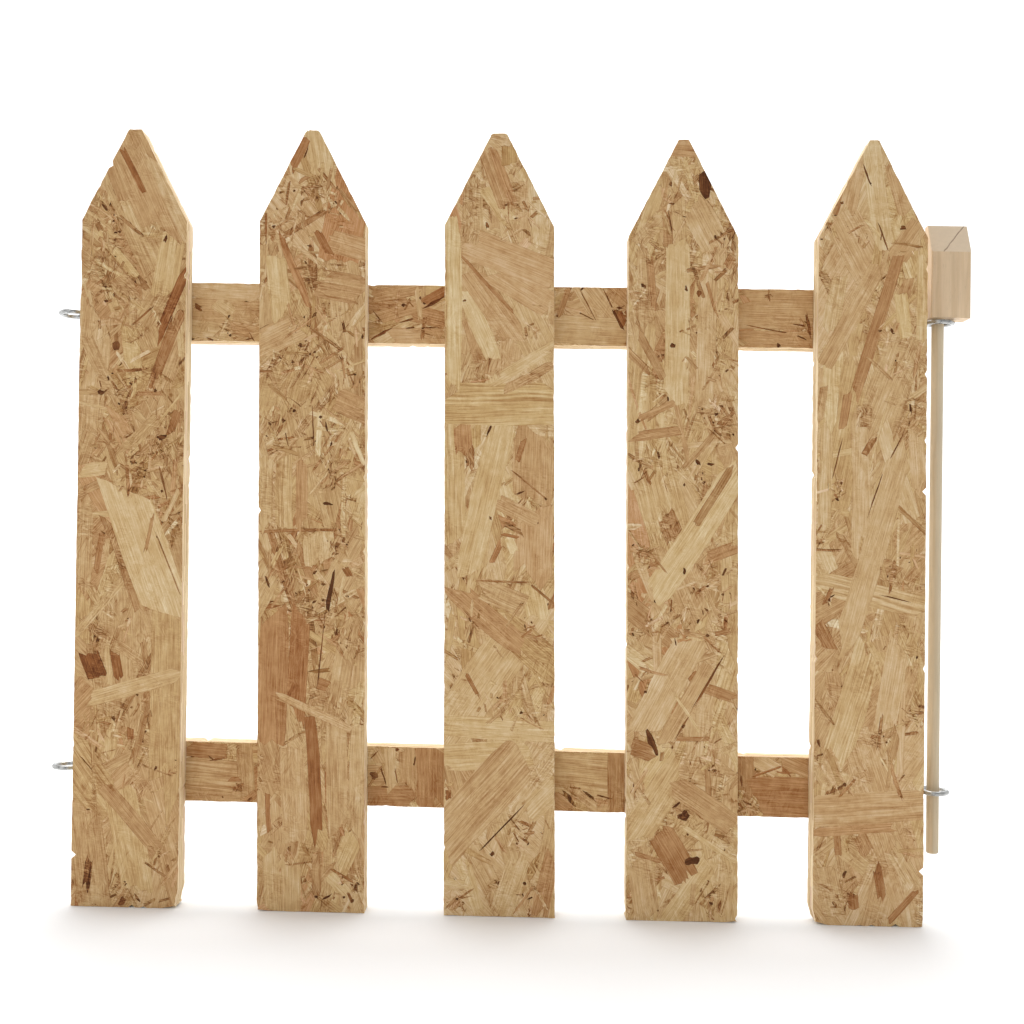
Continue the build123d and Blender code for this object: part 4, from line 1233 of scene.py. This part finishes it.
def edge_rows(outline, rims, inward, thickness, rng):
    """The rows of points across a sawn edge, from the front rim to the back one.

    Gives the rows' points, each row's depth in the board and its seam shade, which is 1 on solid
    wood and less, as painted shade, in the seams between layers.
    """
    layers = bpy.context.scene.gate_board.layers
    count = len(outline)
    rows, levels, seam_shades = [], [], []
    for layer in range(1, layers):
        seam = layer / layers * thickness + smooth_random(count, 14, rng) * 0.10
        gape = np.clip(smooth_random(count, 7, rng) - 0.9, 0, 1.2)
        proud = np.abs(smooth_random(count, 5, rng)) * 0.05
        # each seam's middle row is sunk and painted darker, more where the seam gapes: painted shade
        for shift, drop, mask in (
            (-0.16, proud, np.ones(count)),
            (0.0, proud + 0.06 + 0.30 * gape, 1 - np.clip(0.28 + gape, 0, 1)),
            (0.16, proud, np.ones(count)),
        ):
            level = seam + shift
            share = np.clip(level / thickness, 0.02, 0.98)[:, None]
            rows.append(rims[0] * (1 - share) + rims[1] * share + inward * drop[:, None])
            levels.append(level)
            seam_shades.append(mask)
    return rows, levels, seam_shades


def board_mesh(name, faces_of_strands, outline, front, back, chips, holes, rng):
    """A whole board from its two faces of strands and its sawn edges, in metres."""
    settings = bpy.context.scene.gate_board
    lip, layers, thickness = settings.lip / MM, settings.layers, back - front
    rims, inward = saw_edges(outline, settings.saw_wander / MM, chips, rng)
    count = len(outline)
    points, corners, looks, grains, torn, rim_starts = [], [], [], [], [], []
    total = 0
    for strands, rim, level, toward, cuts in (
        (faces_of_strands[0], rims[0], front, 1, []),
        (faces_of_strands[1], rims[1], back, -1, holes),
    ):
        spots, depth, triangles, owner, inner = face_of_strands(strands, rim, lip, cuts)
        depth[:count] = np.maximum(depth[:count], RIM_SINK)
        points.append(np.stack([spots[:, 0], level + toward * depth, spots[:, 1]], 1))
        turns = np.array([s.turn for s in strands])[owner]
        centres = np.array([s.centre for s in strands])[owner][:, None]
        shifts = np.array([s.shift for s in strands])[owner][:, None]
        along = np.einsum("tij,tkj->tki", turns, spots[triangles] - centres) + shifts
        look = np.array([s.look for s in strands])[owner]
        look = np.repeat(look[:, None], 3, 1)
        step = slice(None) if toward > 0 else slice(None, None, -1)
        corners.append((triangles + total)[:, step])
        grains.append(along[:, step].reshape(-1, 2) * MM)
        looks.append(np.concatenate([look[..., :3], inner[..., None]], 2)[:, step].reshape(-1, 4))
        torn.append(look[..., 3].reshape(-1))
        rim_starts.append(total)
        total += len(spots)
    rows, levels, seam_shades = edge_rows(outline, rims, inward, thickness, rng)
    row_starts = [rim_starts[0], *(total + count * i for i in range(len(rows))), rim_starts[1]]
    points += [np.stack([r[:, 0], front + h, r[:, 1]], 1) for r, h in zip(rows, levels)]
    levels = [np.full(count, FACE_INSET), *levels, np.full(count, thickness - FACE_INSET)]
    seam_shades = [np.ones(count), *seam_shades, np.ones(count)]
    run = np.concatenate([[0], np.cumsum(np.linalg.norm(
        np.roll(outline, -1, axis=0) - outline, axis=1))])
    here = np.arange(count)
    following = (here + 1) % count
    quads = []
    for row in range(len(row_starts) - 1):
        layer = min(layers - 1, (row + 1) // 3)
        if row == 0 or (row + 1) // 3 != row // 3:
            lengths = rng.integers(4, 26, EDGE_PATCHES)
            tone = np.clip(rng.normal(0.74, 0.12, EDGE_PATCHES), 0.2, 1)
            tone = np.repeat(tone, lengths)[:count]
            red = (rng.random(EDGE_PATCHES) < 0.1) * rng.uniform(0.2, 0.8, EDGE_PATCHES)
            red = np.repeat(red, lengths)[:count]
            start = int(rng.integers(count))
            tone, red = np.roll(tone, start), np.roll(red, start)
        ends = ((row, here), (row + 1, here), (row + 1, following), (row, following))
        quads.append(np.stack([row_starts[r] + k for r, k in ends], 1))
        across = np.stack([levels[r][k] + LAYER_SPREAD * layer for r, k in ends], 1)
        along = np.stack([run[:-1], run[:-1], run[1:], run[1:]], 1)
        grains.append(np.stack([along, across], 2).reshape(-1, 2) * MM)
        mask = np.stack([seam_shades[r][k] for r, k in ends], 1)
        flat = [np.repeat(v[:, None], 4, 1) for v in (tone, red, np.full(count, 0.5))]
        looks.append(np.stack([*flat, mask], 2).reshape(-1, 4))
        torn.append(np.full(count * 4, 0.5))
    faces = [f for part in (*corners, *quads) for f in part.tolist()]
    mesh = bpy.data.meshes.new(name)
    mesh.from_pydata((np.concatenate(points) * MM).tolist(), [], faces)
    mesh.uv_layers.new(name="grain").data.foreach_set("uv", np.concatenate(grains).ravel())
    colours = mesh.attributes.new("strand", "FLOAT_COLOR", "CORNER")
    colours.data.foreach_set("color", np.concatenate(looks).ravel())
    mesh.attributes.new("torn", "FLOAT", "CORNER").data.foreach_set("value", np.concatenate(torn))
    face_count = sum(len(part) for part in corners)
    kinds = [0] * face_count + [1] * (len(faces) - face_count)
    mesh.polygons.foreach_set("material_index", kinds)
    mesh.update()
    return mesh


def sink_holes(board, holes, surface):
    """Turns the open screw holes in a rail's back into countersinks."""
    sink = bmesh.new()
    sink.from_mesh(board.data)
    grain_map = sink.loops.layers.uv["grain"]
    look_map = sink.loops.layers.float_color["strand"]
    for centre, radius in holes:
        rim = [
            e for e in sink.edges
            if e.is_boundary and all(
                abs(math.hypot(v.co.x / MM - centre[0], v.co.z / MM - centre[1]) - radius) < 0.1
                for v in e.verts
            )
        ]
        grown = bmesh.ops.extrude_edge_only(sink, edges=rim)["geom"]
        lower = [g for g in grown if isinstance(g, bmesh.types.BMVert)]
        for v in lower:
            off = Vector((v.co.x / MM - centre[0], v.co.z / MM - centre[1])) * SINK_NARROWING
            v.co = Vector((centre[0] + off.x, surface - SINK_DEPTH, centre[1] + off.y)) * MM
        floor_edges = [e for e in sink.edges if e.is_boundary and e.verts[0] in lower]
        caps = bmesh.ops.edgeloop_fill(sink, edges=floor_edges)["faces"]
        walls = {f for v in lower for f in v.link_faces}
        for face in walls | set(caps):
            face.material_index = 1
            for corner in face.loops:
                corner[grain_map].uv = (corner.vert.co.x, corner.vert.co.z)
                # an alpha of 0.9 paints a slight shade into the countersink
                corner[look_map] = (0.55, 0.2, 0.4, 0.9)
    bmesh.ops.recalc_face_normals(sink, faces=sink.faces)
    sink.to_mesh(board.data)
    sink.free()


def middle_line(outline):
    """The middle of a picket's foot and the direction it stands in."""
    order = np.argsort(outline[:, 1])
    foot, tip = outline[order[:2]].mean(0), outline[order[-2:]].mean(0)
    return foot, (tip - foot) / np.linalg.norm(tip - foot)


def cad_outline(name):
    """Outline of a CAD board's front, and where its front and back lie, in millimetres."""
    low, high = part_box(name)
    points = np.array([v.co[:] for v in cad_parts[name].data.vertices]) / MM
    front = points[points[:, 1] < low.y / MM + 0.01]
    return hull(front[:, [0, 2]]), low.y / MM, high.y / MM


def place_piece(name, mesh, body, materials):
    """Links a new piece that stands for the CAD node of the same name."""
    piece = bpy.data.objects.new(f"{name}_board", mesh)
    bpy.context.scene.collection.objects.link(piece)
    for material in materials:
        mesh.materials.append(material)
    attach(piece, body)
    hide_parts(name)
    return piece


def material(name, build, *values):
    """The named material, built on its first use."""
    return bpy.data.materials.get(name) or build(*values)


def build_board(name, order, holes=()):
    """Models one board of pressed strands over its CAD node."""
    settings = bpy.context.scene.gate_board
    rng = np.random.default_rng(FIRST_SEED + order)
    outline, front, back = cad_outline(name)
    low, high = outline.min(0), outline.max(0)
    share = float(np.prod(high - low)) / (56.0 * 400.0)
    foot, up = middle_line(outline)
    chips = [
        (foot + np.array([up[1], -up[0]]) * across + up * rise, reach, depth)
        for across, rise, reach, depth in CHIPS.get(name, ())
    ]
    faces = []
    for side in range(2):
        strands = random_strands(low, high, share, LIE[name], MOODS[name], rng)
        if side == 0:
            strands = showing_strands(name, foot, up, rng) + strands
        count = int(settings.voids * share * MOODS[name][2])
        faces.append(unburied(add_voids(strands, count, rng)))
    mesh = board_mesh(name, faces, walked(outline, SAW_PACE), front, back, chips, holes, rng)
    piece = place_piece(name, mesh, "panel", [
        material("pressed strands", strand_material), material("sawn strands", sawn_material)
    ])
    if holes:
        sink_holes(piece, holes, back)
    return piece


# --- operators ------------------------------------------------------------------------------------


class GATE_OT_shared_finishes(bpy.types.Operator):
    """Build the node groups that the finishes share"""

    bl_idname = "gate.shared_finishes"
    bl_label = "Shared finishes"

    def execute(self, context):
        build_wood_grain()
        build_dust()
        build_chips()
        return {"FINISHED"}


class GATE_OT_pickets(bpy.types.Operator):
    """Model the five pointed pickets of pressed strands"""

    bl_idname = "gate.pickets"
    bl_label = "Pickets"

    def execute(self, context):
        for order, name in enumerate(PICKETS):
            build_board(name, order)
        return {"FINISHED"}


class GATE_OT_rails(bpy.types.Operator):
    """Model the two rails of pressed strands, with the countersinks in their backs"""

    bl_idname = "gate.rails"
    bl_label = "Rails"

    def execute(self, context):
        for order, name in enumerate(RAILS):
            holes = []
            for screws in SCREWS:
                if screws.endswith(f"_{name.split('_')[0]}_screws"):
                    low, high = (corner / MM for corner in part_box(screws))
                    inset, radius = SCREW_HEAD_R, SCREW_HEAD_R + SINK_PLAY
                    holes.append((np.array([low.x + inset, high.z - inset]), radius))
                    holes.append((np.array([high.x - inset, low.z + inset]), radius))
            build_board(name, FIRST_RAIL + order, holes)
        return {"FINISHED"}


class GATE_OT_eyes(bpy.types.Operator):
    """Give the four screw eyes their zinc plating"""

    bl_idname = "gate.eyes"
    bl_label = "Screw eyes"

    def execute(self, context):
        plated = material("zinc wire", zinc_material, "zinc wire", (700.0, 1500.0, 2600.0))
        for name in EYES:
            dress(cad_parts[name], plated)
        return {"FINISHED"}


class GATE_OT_screws(bpy.types.Operator):
    """Give the wood screws their zinc plating"""

    bl_idname = "gate.screws"
    bl_label = "Wood screws"

    def execute(self, context):
        plated = material("zinc screw", zinc_material, "zinc screw", (1800.0, 400.0, 1800.0))
        for name in SCREWS:
            dress(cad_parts[name], plated)
        return {"FINISHED"}


class GATE_OT_drop_pin(bpy.types.Operator):
    """Finish the drop pin's dowel and block"""

    bl_idname = "gate.drop_pin"
    bl_label = "Drop pin"

    def execute(self, context):
        settings = context.scene.gate_pin
        upright = (0.0, math.radians(90), 0.0)
        dress(
            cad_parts["pin_rod"],
            material("dowel wood", straight_wood, "dowel wood", settings.dowel, upright, 5.0,
                     1.3 * MM, (0.50, 0.38, 0.24)),
        )
        dress(
            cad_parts["pin_head"],
            material("pine block", straight_wood, "pine block", settings.block, upright, 9.0,
                     1.9 * MM, (0.58, 0.41, 0.24), True),
        )
        return {"FINISHED"}


def dress(cad_object, finish):
    """Gives a CAD node that stays its material and slot."""
    cad_object.data.materials.clear()
    cad_object.data.materials.append(finish)


class GATE_OT_stage(bpy.types.Operator):
    """Set the floor, the lights and the camera"""

    bl_idname = "gate.stage"
    bl_label = "Stage"

    def execute(self, context):
        settings = context.scene.gate_stage
        low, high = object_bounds()
        make_floor(low, settings)
        make_lights((low + high) / 2, settings)
        camera = bpy.data.cameras.new("camera")
        camera.lens, camera.sensor_width = settings.lens, 36.0
        camera.clip_start, camera.clip_end = 0.01, 50.0
        stand = bpy.data.objects.new("camera", camera)
        context.scene.collection.objects.link(stand)
        stand.location = settings.camera_at
        pitch, roll, yaw = settings.camera_turn
        level = Matrix.Rotation(math.radians(90), 3, "X")
        turn = (
            Matrix.Rotation(yaw, 3, "Z") @ Matrix.Rotation(pitch, 3, "X")
            @ Matrix.Rotation(roll, 3, "Y")
        )
        stand.rotation_euler = (turn @ level).to_euler()
        context.scene.camera = stand
        context.scene.view_settings.view_transform = "Standard"
        return {"FINISHED"}


def make_floor(low, settings):
    """A pale floor that curves up into a backdrop behind the gate."""
    near, far, half, wall, bend = -3.0, 2.5, 4.0, 3.2, 0.9
    bpy.ops.object.select_all(action="DESELECT")
    bpy.ops.mesh.primitive_plane_add(size=1.0, location=(0.0, (near + far) / 2, low.z))
    floor = bpy.context.object
    floor.name = "floor"
    floor.scale = (2 * half, far - near, 1.0)
    bpy.ops.object.transform_apply(location=True, rotation=True, scale=True)
    bpy.ops.object.mode_set(mode="EDIT")
    bpy.ops.mesh.select_mode(type="EDGE")

    def pick_far_edge():
        bpy.ops.mesh.select_all(action="DESELECT")
        sheet = bmesh.from_edit_mesh(floor.data)
        for edge in sheet.edges:
            edge.select_set(all(v.co.y > far - 0.01 and v.co.z < low.z + 0.01 for v in edge.verts))
        bmesh.update_edit_mesh(floor.data)

    pick_far_edge()
    bpy.ops.mesh.extrude_region_move(TRANSFORM_OT_translate={"value": (0.0, 0.0, wall)})
    pick_far_edge()
    bpy.ops.mesh.bevel(offset=bend, segments=16, affect="EDGES")
    bpy.ops.object.mode_set(mode="OBJECT")
    bpy.ops.object.shade_smooth()
    made, tree, shader = new_material("studio floor")
    place = node(tree, "ShaderNodeTexCoord").outputs["Object"]
    mottle = noise(tree, stretched(tree, place, (6.0, 6.0, 6.0)), 3.0)
    pale = tuple(settings.floor)
    colour = mix(tree, mottle, tuple(c * 0.98 for c in pale), pale)
    tree.links.new(colour, shader.inputs["Base Color"])
    shader.inputs["Roughness"].default_value = 0.85
    floor.data.materials.append(made)
    floor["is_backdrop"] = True


def make_lights(centre, settings):
    """Large soft lights at both sides and above the backdrop, in a pale room."""
    power = settings.light
    spots = (
        ("right side", (1.9, 0.3, 0.5), (0.0, 0.0, 0.0), 1.6, 4.5),
        ("left side", (-1.9, 0.3, 0.6), (0.0, 0.0, 0.0), 1.6, 8.5),
        ("front left", (-1.3, -2.3, 1.6), (0.0, 0.0, 0.0), 1.4, 12.0),
        ("backdrop", (0.0, 1.0, 2.6), (0.0, 2.4, 0.6), 2.4, 96.0),
    )
    for name, offset, target, size, watts in spots:
        lamp = bpy.data.lights.new(name, "AREA")
        lamp.shape, lamp.size, lamp.energy = "SQUARE", size, watts * power
        stand = bpy.data.objects.new(name, lamp)
        bpy.context.scene.collection.objects.link(stand)
        stand.location = centre + Vector(offset)
        aim = Vector(target) - Vector(offset)
        stand.rotation_euler = aim.to_track_quat("-Z", "Y").to_euler()
    world = bpy.data.worlds.new("pale room")
    world.use_nodes = True
    back = world.node_tree.nodes["Background"]
    back.inputs["Color"].default_value = (1.0, 1.0, 1.0, 1.0)
    back.inputs["Strength"].default_value = 0.56 * power
    bpy.context.scene.world = world


OPERATORS = (
    GATE_OT_shared_finishes, GATE_OT_pickets, GATE_OT_rails, GATE_OT_eyes, GATE_OT_screws,
    GATE_OT_drop_pin, GATE_OT_stage,
)


class GATE_PT_panel(bpy.types.Panel):
    """Lists the gate's pieces and settings"""

    bl_label = "Garden Gate"
    bl_idname = "GATE_PT_panel"
    bl_space_type = "VIEW_3D"
    bl_region_type = "UI"
    bl_category = "Garden Gate"

    def draw(self, context):
        layout = self.layout
        for operator in OPERATORS:
            layout.operator(operator.bl_idname)
        for name, settings in SETTINGS.items():
            box = layout.box()
            for prop in settings.__annotations__:
                box.prop(getattr(context.scene, name), prop)


def register():
    for cls in (*SETTINGS.values(), *OPERATORS, GATE_PT_panel):
        bpy.utils.register_class(cls)
    for name, settings in SETTINGS.items():
        setattr(bpy.types.Scene, name, bpy.props.PointerProperty(type=settings))


def unregister():
    for name in SETTINGS:
        delattr(bpy.types.Scene, name)
    for cls in reversed((*SETTINGS.values(), *OPERATORS, GATE_PT_panel)):
        bpy.utils.unregister_class(cls)


def main():
    register()
    for operator in OPERATORS:
        getattr(bpy.ops.gate, operator.bl_idname.split(".")[1])()


if __name__ == "__main__":
    main()
